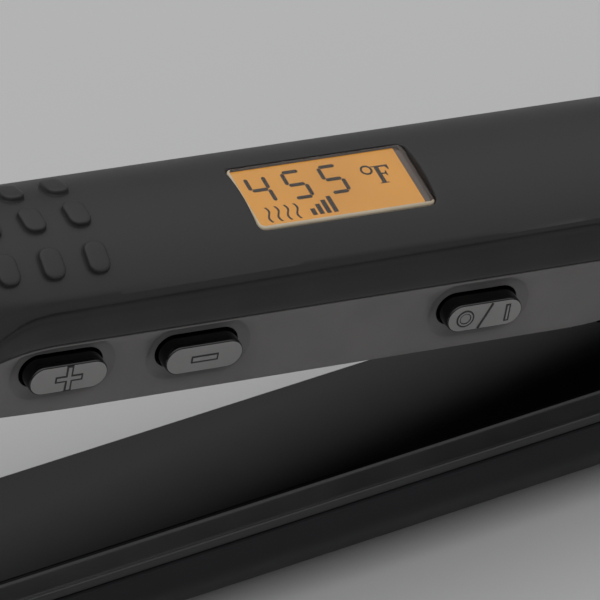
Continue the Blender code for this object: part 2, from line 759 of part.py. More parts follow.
def hinge_shroud():
    """Curved cover over the spring, between the ears, behind the tongue."""
    outline = []
    for radius, first, last in ((SHROUD_R[1], -24.0, 102.0), (SHROUD_R[0], 102.0, -24.0)):
        for i in range(13):
            a = math.radians(mix(first, last, i / 12))
            outline.append((PIN_X + radius * math.cos(a), MID_Z + radius * math.sin(a)))
    shroud = prism("hinge_shroud", outline, "y", -KNUCKLE_HALF_W, KNUCKLE_HALF_W, "gloss")
    return smooth(shroud)


def hinge_pin():
    return smooth(prism("hinge_pin", circle(PIN_X, MID_Z, PIN_R), "y", -13.2, 13.2, "steel"))


def hinge_cap(name, side):
    """Domed button that hides the pin's end, with a plug in the ear's bore."""
    layers = ((13.5, 1.9), (14.6, 1.9), (14.6, 3.4), (15.0, 3.4), (15.4, 2.8), (15.5, 1.8))
    rings = []
    for y, radius in layers:
        rings.append([(u, side * y, v) for u, v in circle(PIN_X, MID_Z, radius)])
    return smooth(loft(name, rings, "gloss"))


def hinge_spring():
    """Torsion spring round the pin, a leg in each arm."""
    turns, coil_r, wire_r, length = 5, 3.35, 0.5, 6.6
    steps = 14
    opening = math.radians(OPEN_DEG)
    start = math.radians(270.0)
    sweep = 2.0 * math.pi * turns - math.pi - opening
    coil = []
    for i in range(turns * steps + 1):
        t = i / (turns * steps)
        a = start + sweep * t
        coil.append((PIN_X + coil_r * math.cos(a), mix(-length / 2, length / 2, t),
                     MID_Z + coil_r * math.sin(a)))
    leg = 12.5
    first = coil[0]
    lower_leg = (first[0] - leg, first[1], first[2] - 3.6)
    last = coil[-1]
    upper_leg = (last[0] - leg * math.cos(opening), last[1], last[2] + leg * math.sin(opening))
    return tube("hinge_spring", [lower_leg] + coil + [upper_leg], wire_r, "steel", 8)


def swivel_gland():
    """Sleeve that turns in the rear wall and leads the cord in."""
    outer = ((138.0, 5.1), (139.7, 5.1), (139.7, 4.2), (142.3, 4.2), (142.3, 5.6),
             (144.0, 5.8), (145.5, 5.4), (151.0, 4.6), (151.6, 4.2))
    rings = [[(x, u, v) for u, v in circle(0.0, GLAND_Z, r, 28)] for x, r in outer]
    gland = loft("swivel_gland", rings, "rubber")
    cut(gland, prism("cord_hole", circle(0.0, GLAND_Z, 3.1, 28), "x", 130.0, 160.0))
    return smooth(gland)


def cord_clamp():
    clamp = box("cord_clamp", (116.0, -6.0, 2.6), (120.5, 6.0, 5.6), "white", 0.3)
    saddle = circle(0.0, 7.6, 2.6, 20)
    cut(clamp, prism("saddle", saddle, "x", 110.0, 130.0))
    return clamp


# ---------------------------------------------------------------- assembly
def attach(pieces, parent, origin):
    """Give pieces drawn in the closed pose the pivot's frame."""
    shift = Vector(origin) * MM
    for piece in pieces:
        if piece.location.length > 0.0:
            piece.location -= shift
        elif piece.type == "MESH":
            piece.data.transform(Matrix.Translation(-shift))
        else:
            for knot in piece.data.splines[0].points:
                knot.co = (*(Vector(knot.co[:3]) - shift), 1.0)
        piece.parent = parent


def build():
    for old in list(bpy.data.objects):
        bpy.data.objects.remove(old)

    pieces = [upper_shell(), control_strip(), upper_inner_frame(), knuckle()]
    pieces += display_unit()
    pieces.append(box("switch_board", (-46.0, -8.3, 21.4), (33.0, -7.1, 30.6), "board"))
    for name, x in BUTTONS.items():
        pieces.append(button("button_" + name, x))
        pieces.append(tact_switch("switch_" + name, x))
    pieces += heater_set("upper", True)
    pieces.append(screw("upper_screw_front", UPPER_SCREW_X[0], 0.0, EDGE_Z, 1.0))
    pieces.append(screw("upper_screw_rear", UPPER_SCREW_X[1], 0.0, EDGE_Z, 1.0))
    for place, side in (("left", 1.0), ("right", -1.0)):
        name = "knuckle_screw_" + place
        y = side * HINGE_SCREW[1]
        pieces.append(screw(name, KNUCKLE_SCREW_X, y, EDGE_Z, 1.0, 5.6))
    pieces.append(leads("upper_leads", (-50.0, 6.0, 23.5), (98.0, 8.0, 23.5), -1.5))

    pivot = bpy.data.objects.new("upper_arm_pivot", None)
    bpy.context.scene.collection.objects.link(pivot)
    pivot.location = (PIN_X * MM, 0.0, MID_Z * MM)
    pivot.rotation_euler = (0.0, math.radians(OPEN_DEG), 0.0)
    attach(pieces, pivot, (PIN_X, 0.0, MID_Z))

    lower_shell()
    lower_inner_frame()
    hinge_yoke()
    hinge_shroud()
    hinge_pin()
    hinge_spring()
    hinge_cap("hinge_cap_left", 1.0)
    hinge_cap("hinge_cap_right", -1.0)
    heater_set("lower", False)
    screw("lower_screw_front", SCREW_X[0], 0.0, FACE_Z, -1.0)
    screw("lower_screw_rear", SCREW_X[1], 0.0, FACE_Z, -1.0)
    for place, side in (("left", 1.0), ("right", -1.0)):
        screw("yoke_screw_" + place, HINGE_SCREW[0], side * HINGE_SCREW[1], FACE_Z, -1.0)
    swivel_gland()
    cord_clamp()
    leads("lower_leads", (-50.0, 7.0, 5.5), (103.0, 5.6, 6.5), 1.0)


build()
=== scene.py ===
"""Looks of a hair straightener with two hinged arms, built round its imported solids."""
import json
import math

import bmesh
import bpy
from mathutils import Matrix, Vector


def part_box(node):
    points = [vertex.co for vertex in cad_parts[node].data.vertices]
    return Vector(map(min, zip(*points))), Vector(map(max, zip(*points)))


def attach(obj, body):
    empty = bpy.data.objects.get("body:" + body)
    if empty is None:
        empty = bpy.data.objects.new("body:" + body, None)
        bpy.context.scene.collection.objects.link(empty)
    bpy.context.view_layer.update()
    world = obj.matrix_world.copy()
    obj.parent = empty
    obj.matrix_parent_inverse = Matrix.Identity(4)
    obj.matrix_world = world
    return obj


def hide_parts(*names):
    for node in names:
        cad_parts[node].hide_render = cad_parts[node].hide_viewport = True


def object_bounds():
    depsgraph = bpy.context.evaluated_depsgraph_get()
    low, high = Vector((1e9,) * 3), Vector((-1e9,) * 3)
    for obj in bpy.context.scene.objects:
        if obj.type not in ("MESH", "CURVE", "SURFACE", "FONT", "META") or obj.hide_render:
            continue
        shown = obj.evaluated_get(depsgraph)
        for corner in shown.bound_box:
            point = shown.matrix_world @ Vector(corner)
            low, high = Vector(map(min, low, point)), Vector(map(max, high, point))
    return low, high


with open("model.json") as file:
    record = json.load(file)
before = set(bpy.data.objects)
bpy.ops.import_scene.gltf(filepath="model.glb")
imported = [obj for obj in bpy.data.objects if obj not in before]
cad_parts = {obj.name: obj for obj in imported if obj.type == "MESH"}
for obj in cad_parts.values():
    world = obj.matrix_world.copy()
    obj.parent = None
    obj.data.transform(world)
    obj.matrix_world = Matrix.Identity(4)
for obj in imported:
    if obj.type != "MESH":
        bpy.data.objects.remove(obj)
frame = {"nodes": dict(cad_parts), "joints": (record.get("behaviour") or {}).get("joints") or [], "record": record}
cad_low, cad_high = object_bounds()

# Sections and outlines are in millimetres with the arms closed, in the axes of the
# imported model: X along the arms to the hinge, -Y the side with the buttons, Z up.
MM = 0.001
GAP = 0.3
HAIRLINE = 0.06                          # gap left at a seam that is pressed shut

hinge = next(j for j in frame["joints"] if j["name"] == "arm_hinge")
PIN = Vector(hinge["pos_m"])
OPENING = math.radians(hinge["range_deg"][1])
OPENED = Matrix.Translation(PIN) @ Matrix.Rotation(OPENING, 4, "Y") @ Matrix.Translation(-PIN)
CLOSED = OPENED.inverted()


def closed_box(node):
    """Corners of an upper arm node in millimetres, arms closed."""
    spots = [CLOSED @ v.co / MM for v in frame["nodes"][node].data.vertices]
    return (Vector([min(p[k] for p in spots) for k in range(3)]),
            Vector([max(p[k] for p in spots) for k in range(3)]))


def lower_box(node):
    low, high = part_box(node)
    return low / MM, high / MM


shell_low, shell_high = closed_box("upper_shell")
strip_low, strip_high = closed_box("control_strip")
base_high = lower_box("lower_shell")[1]
face_high = lower_box("lower_inner_frame")[1]

HALF_W = shell_high.y                    # half width of an arm
TIP_X = shell_low.x                      # both arms end here
UPPER_END_X = shell_high.x
EDGE_Z = strip_low.z                     # lower edge of the upper arm
WALL = 1.8                               # shell wall
TIP_ROUND = 8.0                          # length of the rounded tip
TIP_WIDTH = 0.667                        # width of the flat end of a tip, as a share
CROWN_R = 19.75                          # radius across the top of the upper arm
CROWN_TOP = 41.3
TIP_TOP = 34.5                           # top of the upper arm over the plates
TAPER_X = (-112.0, -60.0)
SHOULDER_DEG = (33.0, 43.0)              # plain arm, over the step
FAR_DEG = 40.0
EDGE_REAR_Z = 24.0
EDGE_TIP_Z = 19.0
STRIP_TOP_Z = strip_high.z + HAIRLINE
STRIP_X = (strip_low.x - 0.8, strip_high.x + 1.5)  # ends of the strip's recess
STRIP_FLAT_X = (-40.0, 52.0)
STRIP_BACK = strip_high.y
STEP_Z = 33.7                            # soft step over the strip
STEP_SLOPE = 0.0128
STEP_Y = -13.7
STEP_END_X = -54.5
STEP_UNDERCUT = 0.8                      # the foot of the step lies this much inwards
WALL_OVER_STEP = 1.7                     # upright part over the step
STEP_START_X = (-56.0, -44.0)            # where the step starts and where it fades
STEP_FADE_X = (66.0, 108.0)
EDGE_TIP_X = (-58.0, -34.0)              # where the lower edge changes its height
EDGE_REAR_X = (40.0, 74.0)
WALL_DROP, FAR_WALL_DROP = 11.0, 9.6     # from the crown to the upright walls
SHOULDER_REACH = (3.6, 0.55)             # plain arm, over the step
FAR_REACH = 2.6
UPPER_REAR_ROUND = 7.0
UPPER_REAR_WIDTH = 0.80                  # as TIP_WIDTH, at the rear
UPPER_TIP_DROP, UPPER_REAR_DROP = 4.0, 5.0
GRIP_COLUMNS = 6
GRIP_LAST_X = -33.3
GRIP_PITCH = 6.68
GRIP_ROWS = (-9.3, -2.2, 4.9)
GRIP_PAD = (3.2, 4.6, 1.35)              # length, width, corner radius
GRIP_PROUD = 0.75
ROW_PITCH = 7.1
ZONE = (-12.85, 8.45)                    # even rows along the crown, from its top
ZONE_STEPS = 24
NEAR_STEPS, FAR_STEPS, FAR_WALL_STEPS = 5, 16, 5  # rows on either side of them
WINDOW = (27.7, 12.3, 1.2)               # length, width, corner radius
WINDOW_SHIFT = 0.35                      # the window lies this much towards the buttons
WINDOW_X = (-9.6, 20.4)                  # the part of the shell that is rebuilt round it
WINDOW_ROWS = (-11.08, 3.12)


# ---------------------------------------------------------------- curves
def mix(a, b, t):
    return a + (b - a) * t


def blend(x, start, end):
    t = min(1.0, max(0.0, (x - start) / (end - start)))
    return t * t * (3.0 - 2.0 * t)


def spread(first, last, count):
    return [mix(first, last, i / count) for i in range(count + 1)]


def line(a, b, count):
    return [(mix(a[0], b[0], i / count), mix(a[1], b[1], i / count))
            for i in range(count + 1)]


def bezier(knots, count):
    """A plane curve through the first and last knot, of any degree."""
    degree = len(knots) - 1
    points = []
    for i in range(count + 1):
        t = i / count
        weights = [math.comb(degree, k) * t ** k * (1.0 - t) ** (degree - k)
                   for k in range(degree + 1)]
        points.append(tuple(sum(w * p[a] for w, p in zip(weights, knots)) for a in (0, 1)))
    return points


def walk(points, places):
    """Points at the given distances along an outline."""
    lengths = [0.0]
    for a, b in zip(points, points[1:]):
        lengths.append(lengths[-1] + math.dist(a, b))
    found, k = [], 0
    for place in places:
        place = min(max(place, 0.0), lengths[-1])
        while k < len(points) - 2 and lengths[k + 1] < place:
            k += 1
        span = max(lengths[k + 1] - lengths[k], 1e-9)
        t = (place - lengths[k]) / span
        found.append(tuple(mix(points[k][a], points[k + 1][a], t) for a in (0, 1)))
    return found


# ---------------------------------------------------------------- meshes
class Skin:
    """Welded points and faces of one piece, in millimetres."""

    def __init__(self):
        self.points = []
        self.faces = []
        self.slots = []
        self.known = {}

    def point(self, p):
        key = (round(p[0], 4), round(p[1], 4), round(p[2], 4))
        if key not in self.known:
            self.known[key] = len(self.points)
            self.points.append(tuple(p))
        return self.known[key]

    def row(self, points):
        return [self.point(p) for p in points]

    def face(self, ids, slot=0):
        kept = [p for i, p in enumerate(ids) if p != ids[i - 1]]
        if len(kept) > 2 and len(set(kept)) == len(kept):
            self.faces.append(kept)
            self.slots.append(slot)

    def bridge(self, a, b, closed=False, slot=0):
        """Faces between two rows of the same length."""
        count = len(a)
        for i in range(count if closed else count - 1):
            j = (i + 1) % count
            self.face((a[i], a[j], b[j], b[i]), slot)

    def grid(self, rows, holes=()):
        for j in range(len(rows) - 1):
            for i in range(len(rows[j]) - 1):
                if not any(h[0] <= i < h[1] and h[2] <= j < h[3] for h in holes):
                    self.face((rows[j][i], rows[j][i + 1],
                               rows[j + 1][i + 1], rows[j + 1][i]))

    def sandwich(self, front, back, open_holes=(), blind_holes=()):
        """A wall between two grids of points; open holes go through it."""
        front = [self.row(r) for r in front]
        back = [self.row(r) for r in back]
        self.grid(front, (*open_holes, *blind_holes))
        self.grid(back, open_holes)
        for a, b in ((front[0], back[0]), (front[-1], back[-1])):
            self.bridge(a, b)
        for k in (0, -1):
            self.bridge([r[k] for r in front], [r[k] for r in back])
        return front, back


def loop(rows, hole):
    """What a grid holds round a hole, in order."""
    i0, i1, j0, j1 = hole
    found = [rows[j0][i] for i in range(i0, i1)]
    found += [rows[j][i1] for j in range(j0, j1)]
    found += [rows[j1][i] for i in range(i1, i0, -1)]
    found += [rows[j][i0] for j in range(j1, j0, -1)]
    return found


def spokes(around, centre, length, width, radius):
    """Foot and direction of each spoke of a rounded rectangle or stadium."""
    core = (length / 2 - radius, width / 2 - radius)
    found = []
    for u, v in around:
        du, dv = u - centre[0], v - centre[1]
        foot = (min(max(du, -core[0]), core[0]), min(max(dv, -core[1]), core[1]))
        reach = math.hypot(du - foot[0], dv - foot[1])
        found.append((centre[0] + foot[0], centre[1] + foot[1],
                      (du - foot[0]) / reach, (dv - foot[1]) / reach))
    return found


def even_spokes(length, width, radius, count=12):
    """Spokes of a rounded rectangle about the origin, evenly round its corners."""
    core = (length / 2 - radius, width / 2 - radius)
    found = []
    for su, sv, start in ((1, 1, 0), (-1, 1, 90), (-1, -1, 180), (1, -1, 270)):
        for i in range(count + 1):
            a = math.radians(start + 90.0 * i / count)
            found.append((su * core[0], sv * core[1], math.cos(a), math.sin(a)))
    return found


def round_spokes(u, v, step):
    """Spokes of a circle about a point, a step of degrees apart."""
    return [(u, v, math.cos(math.radians(a)), math.sin(math.radians(a)))
            for a in range(0, 360, step)]


def rings(skin, spoke_list, profile, place, first=None, slot=0):
    """Rings at the profile's (radius, height) pairs; returns the last one."""
    last = first
    for radius, height in profile:
        ring = skin.row([place(u + du * radius, v + dv * radius, height)
                         for u, v, du, dv in spoke_list])
        if last is not None:
            skin.bridge(last, ring, closed=True, slot=slot)
        last = ring
    return last


def close(skin, ring, slot=0):
    kept = [p for i, p in enumerate(ring) if p != ring[i - 1]]
    if len(set(kept)) == len(kept):
        skin.face(kept, slot)


def finish_piece(made, body, replaced=()):
    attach(made, body)
    if replaced:
        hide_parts(*replaced)
    return made


def to_object(name, skin, looks, turn=None, sharp=40.0):
    mesh = bpy.data.meshes.new(name)
    mesh.from_pydata(skin.points, [], skin.faces)
    for look in looks:
        mesh.materials.append(look)
    mesh.polygons.foreach_set("material_index", skin.slots)
    bm = bmesh.new()
    bm.from_mesh(mesh)
    bmesh.ops.remove_doubles(bm, verts=bm.verts[:], dist=0.002)
    bmesh.ops.recalc_face_normals(bm, faces=bm.faces[:])
    bmesh.ops.scale(bm, vec=(MM, MM, MM), verts=bm.verts[:])
    if turn is not None:
        bmesh.ops.transform(bm, matrix=turn, verts=bm.verts[:])
    bm.to_mesh(mesh)
    bm.free()
    made = bpy.data.objects.new(name, mesh)
    bpy.context.scene.collection.objects.link(made)
    mesh.shade_smooth()
    mesh.set_sharp_from_angle(angle=math.radians(sharp))
    return made


def rows_of(columns):
    return [list(row) for row in zip(*columns)]


def inner_x(x, end_x, rounding):
    """Where the inner side of a shell's wall stands, near its rounded ends."""
    if x < TIP_X + TIP_ROUND:
        return mix(TIP_X + WALL, TIP_X + TIP_ROUND, (x - TIP_X) / TIP_ROUND)
    if x > end_x - rounding:
        return mix(end_x - rounding, end_x - WALL, (x - end_x + rounding) / rounding)
    return x


# ---------------------------------------------------------------- upper arm
def end_round(x, rear_x=None, rear_round=8.0):
    """1 along the arm, falling to 0 at its rounded tip and rear."""
    d = max(0.0, (TIP_X + TIP_ROUND - x) / TIP_ROUND)
    if rear_x is not None:
        d = max(d, (x - rear_x + rear_round) / rear_round)
    return math.sqrt(max(0.0, 1.0 - min(1.0, d) ** 2))


def top_z(x):
    return mix(TIP_TOP, CROWN_TOP, blend(x, *TAPER_X))


def edge_z(x):
    rear = mix(EDGE_Z, EDGE_REAR_Z, blend(x, *EDGE_REAR_X))
    return mix(EDGE_TIP_Z, rear, blend(x, *EDGE_TIP_X))


def quarter(x, start, end):
    """Falls from 1 to 0 like a quarter ellipse as x goes from start to end."""
    d = min(1.0, max(0.0, (x - start) / (end - start)))
    return math.sqrt(1.0 - d * d)


def strip_top(x):
    side = 0 if x < STRIP_FLAT_X[0] else 1
    return mix(edge_z(STRIP_X[side]), STRIP_TOP_Z, quarter(x, STRIP_FLAT_X[side], STRIP_X[side]))


def step_depth(x):
    """How far the soft step over the strip is developed, from 0 to 1."""
    return blend(x, *STEP_START_X) * (1.0 - blend(x, *STEP_FADE_X))


def step_z(x):
    high = STEP_Z + STEP_SLOPE * x
    if x < STRIP_FLAT_X[0]:
        return mix(edge_z(x) + 1.5, high, quarter(x, STRIP_FLAT_X[0], STEP_END_X))
    return high


def crown(top, degrees):
    a = math.radians(degrees)
    return (CROWN_R * math.sin(a), top - CROWN_R * (1.0 - math.cos(a)))


def over_curve(x, vertical, step_y):
    """Shoulder, crown and far shoulder, and the crown top's distance along them."""
    top, depth = top_z(x), step_depth(x)

    def shoulder(degrees, foot, reach):
        start = crown(top, degrees)
        a = math.radians(abs(degrees))
        pull = (start[0] + math.copysign(reach, degrees) * math.cos(a),
                start[1] - reach * math.sin(a))
        return bezier((start, pull, (foot[0], foot[1] + reach), foot), 16)

    near_deg = mix(*SHOULDER_DEG, depth)
    near = shoulder(-near_deg, (step_y, vertical), mix(*SHOULDER_REACH, depth))[::-1]
    far = shoulder(FAR_DEG, (HALF_W, top - FAR_WALL_DROP), FAR_REACH)
    middle = [crown(top, a) for a in spread(-near_deg, FAR_DEG, 60)]
    length = sum(math.dist(a, b) for a, b in zip(near, near[1:]))
    return near + middle[1:-1] + far, length + math.radians(near_deg) * CROWN_R


def side_levels(x):
    """Heights of the side wall's top, the step's foot and the crown's near end."""
    depth = step_depth(x)
    wall_top = max(mix(edge_z(x) + 1.0, STRIP_TOP_Z, depth), strip_top(x))
    step = max(wall_top + 1.2, step_z(x))
    return wall_top, step, mix(top_z(x) - WALL_DROP, step + WALL_OVER_STEP, depth)


def shell_section(x):
    """Points of the upper shell's outside at x, button side to far side."""
    top, edge, depth = top_z(x), edge_z(x), step_depth(x)
    in_strip = STRIP_X[0] < x < STRIP_X[1]
    low = strip_top(x) if in_strip else edge
    step_y = mix(-HALF_W, STEP_Y, depth)
    wall_top, step, vertical = side_levels(x)
    step = min(step, vertical - 1.0)
    wall_top = max(min(wall_top, step - 1.0), low + 0.3)
    lip = (-HALF_W + 0.2 * depth, wall_top + 0.2)
    corner = (step_y + STEP_UNDERCUT * depth, step)
    foot = walk([corner, lip], [min(1.1, 0.4 * math.dist(corner, lip))])[0]
    rise = (step_y, mix(step, vertical, 0.55))
    curve, middle = over_curve(x, vertical, step_y)
    length = sum(math.dist(a, b) for a, b in zip(curve, curve[1:]))
    places = spread(0.0, middle + ZONE[0], NEAR_STEPS)[:-1]
    places += spread(middle + ZONE[0], middle + ZONE[1], ZONE_STEPS)
    places += spread(middle + ZONE[1], length, FAR_STEPS)[1:]

    points = [(-HALF_W + WALL, low), (-HALF_W + 0.2, low)]
    points += line((-HALF_W, low + 0.2), (-HALF_W, wall_top), 3)
    points += line(lip, foot, 4)
    points += bezier((foot, corner, rise), 7)[1:]
    points += line(rise, (step_y, vertical), 2)[1:-1]
    points += walk(curve, places)
    points += line((HALF_W, top - FAR_WALL_DROP), (HALF_W, edge + 0.2), FAR_WALL_STEPS)[1:]
    points += [(HALF_W - 0.2, edge), (HALF_W - WALL, edge)]
    return points


SECTION_ROWS = len(shell_section(0.0))
ZONE_ROW = SECTION_ROWS - 2 - FAR_WALL_STEPS - FAR_STEPS - ZONE_STEPS - 1


def inset(points, depth, first, last):
    """The section's inner side; its ends stay where the rim is."""
    found = []
    for i, p in enumerate(points):
        if i < first:
            found.append(points[0])
            continue
        if i > last:
            found.append(points[-1])
            continue
        a, b = points[max(first, i - 1)], points[min(last, i + 1)]
        size = max(math.dist(a, b), 1e-6)
        found.append((p[0] + (b[1] - a[1]) / size * depth, p[1] - (b[0] - a[0]) / size * depth))
    return found


def shape_end(x, points, edge, top):
    """Narrow and lower a section where the arm ends in a round."""
    end = end_round(x, UPPER_END_X, UPPER_REAR_ROUND)
    rear = x > 0.0
    width = mix(UPPER_REAR_WIDTH if rear else TIP_WIDTH, 1.0, end)
    drop = mix(UPPER_REAR_DROP if rear else UPPER_TIP_DROP, 0.0, end)
    return [(y * width, z - drop * (z - edge) / (top - edge)) for y, z in points]


def end_columns(length, count=9):
    """Distances from a rounded end, closer together near it."""
    return [length * (1.0 - math.cos(math.radians(90.0 * i / count))) for i in range(count + 1)]


def shell_stations():
    cells = [GRIP_LAST_X + GRIP_PITCH * (0.5 - k) for k in range(GRIP_COLUMNS + 1)]
    pads = spread(cells[-1], cells[0], 8 * GRIP_COLUMNS)
    xs = [TIP_X + d for d in end_columns(TIP_ROUND)]
    xs += spread(TIP_X + TIP_ROUND, cells[-1], 34)
    xs += pads + spread(cells[0], WINDOW_X[0], 16) + spread(*WINDOW_X, 24)
    xs += spread(WINDOW_X[1], UPPER_END_X - UPPER_REAR_ROUND, 54)
    xs += [UPPER_END_X - d for d in end_columns(UPPER_REAR_ROUND)]
    for x in STRIP_X:
        inwards = 1.0 if x < 0.0 else -1.0
        xs += [x + inwards * d for d in (-0.05, 0.0, 0.08, 0.25, 0.6)]
    return sorted({round(x, 4) for x in xs}), cells


def index_of(values, wanted):
    return min(range(len(values)), key=lambda i: abs(values[i] - wanted))


def crown_place(x, s, height):
    """A point s along the crown from its top, raised along the outward normal."""
    step_y = mix(-HALF_W, STEP_Y, step_depth(x))
    curve, middle = over_curve(x, side_levels(x)[2], step_y)
    a, p, b = walk(curve, [middle + s - 0.1, middle + s, middle + s + 0.1])
    size = max(math.dist(a, b), 1e-6)
    return (x, p[0] - (b[1] - a[1]) / size * height, p[1] + (b[0] - a[0]) / size * height)


def display_turn():
    low, high = closed_box("display_lens")
    middle = (low + high) / 2.0
    tilt = math.asin(-(middle.y - WINDOW_SHIFT) / CROWN_R)
    top = CROWN_TOP - CROWN_R * (1.0 - math.cos(tilt))
    spot = Vector((middle.x, -math.sin(tilt) * CROWN_R, top))
    return Matrix.Translation(spot) @ Matrix.Rotation(tilt, 4, "X")


DISPLAY = display_turn()


def window_place(u, v, height):
    """A point over the display, drawn flat, dropped onto the crown along the tilt."""
    inside = CROWN_R * CROWN_R - v * v
    return DISPLAY @ Vector((u, v, math.sqrt(inside) - CROWN_R + height))


def upper_shell(look):
    xs, cells = shell_stations()
    front, back = [], []
    for x in xs:
        points, edge, top = shell_section(x), edge_z(x), top_z(x)
        inner = inset(points, WALL, 2, len(points) - 3)
        thin = inner_x(x, UPPER_END_X, UPPER_REAR_ROUND)
        front.append([(x, y, z) for y, z in shape_end(x, points, edge, top)])
        back.append([(thin, y, z) for y, z in shape_end(x, inner, edge, top)])

    def cap(columns, first, share):
        """Columns that shrink to the middle of the lower edge, which closes an end."""
        made = []
        for t in share:
            made.append([(x, y * t, mix(first, z, t) if first < z else z)
                         for x, y, z in columns])
        return made

    shares = (0.0, 0.25, 0.5, 0.75, 0.92)
    front_edge, rear_edge = EDGE_TIP_Z, EDGE_REAR_Z + 0.9
    front = cap(front[0], front_edge, shares) + front + cap(front[-1], rear_edge, shares[::-1])
    back = cap(back[0], front_edge, shares) + back + cap(back[-1], rear_edge, shares[::-1])
    rows_front, rows_back = rows_of(front), rows_of(back)
    shift = len(shares)

    def row_at(s):
        return ZONE_ROW + round((s - ZONE[0]) / (ZONE[1] - ZONE[0]) * ZONE_STEPS)

    def hole_at(x0, x1, s0, s1):
        return shift + index_of(xs, x0), shift + index_of(xs, x1), row_at(s0), row_at(s1)

    window = hole_at(*WINDOW_X, *WINDOW_ROWS)
    pads = [(column, row) for column in range(GRIP_COLUMNS) for row in range(len(GRIP_ROWS))]
    pad_holes = [hole_at(cells[column + 1], cells[column], ZONE[0] + row * ROW_PITCH,
                         ZONE[0] + (row + 1) * ROW_PITCH) for column, row in pads]
    skin = Skin()
    front_ids, back_ids = skin.sandwich(rows_front, rows_back, (window,), pad_holes)

    around = loop(rows_front, window)
    flat = [DISPLAY.inverted() @ Vector(p) for p in around]
    inner_loop = loop(back_ids, window)
    lines = spokes([(p.x, p.y) for p in flat], (0.0, 0.0), *WINDOW)
    r = WINDOW[2]
    profile = [(r + 0.35, 0.0), (r + 0.22, -0.02), (r + 0.1, -0.08), (r + 0.02, -0.19),
               (r, -0.35), (r, -1.0), (r, -WALL)]
    last = rings(skin, lines, profile, window_place, loop(front_ids, window))
    skin.bridge(last, inner_loop, closed=True)

    numbers = [[(i, j) for i in range(len(xs) + 2 * shift)] for j in range(SECTION_ROWS)]
    for hole, (column, row) in zip(pad_holes, pads):
        x = GRIP_LAST_X - GRIP_PITCH * column
        s = math.asin(GRIP_ROWS[row] / CROWN_R) * CROWN_R
        uv = [(xs[i - shift], mix(*ZONE, (j - ZONE_ROW) / ZONE_STEPS))
              for i, j in loop(numbers, hole)]
        lines = spokes(uv, (x, s), *GRIP_PAD)
        r = GRIP_PAD[2]
        profile = [(r + 0.5, 0.0), (r + 0.22, -0.02), (r + 0.1, -0.05), (r + 0.02, 0.06),
                   (r, 0.25), (r - 0.03, GRIP_PROUD - 0.22), (r - 0.1, GRIP_PROUD - 0.1),
                   (r - 0.22, GRIP_PROUD - 0.03), (r - 0.45, GRIP_PROUD),
                   (0.4, GRIP_PROUD + 0.02), (0.0, GRIP_PROUD + 0.02)]
        last = rings(skin, lines, profile, crown_place, loop(front_ids, hole))
        close(skin, last)
    made = to_object("moulded_upper_shell", skin, [look], OPENED)
    return finish_piece(made, "upper_arm", ["upper_shell"])


BUTTONS = ("plus", "minus", "power")
BUTTON_FACE = (11.7, 4.45)
BUTTON_BASE = (11.9, 4.65)
BUTTON_CELL = 9.4                        # half of the strip's length that is rebuilt round one
BUTTON_GAP = 0.25
FLANGE_W, FLANGE_TOP, BUTTON_DEPTH = 0.75, 3.9, 4.8
DISH = (1.7, 0.6)                        # reach and depth of the dish round a button
STRIP_CHAMFER, STRIP_EASE = 0.22, 0.06


def button_centre(name):
    low, high = closed_box("button_" + name)
    return (low + high) / 2.0, low.y


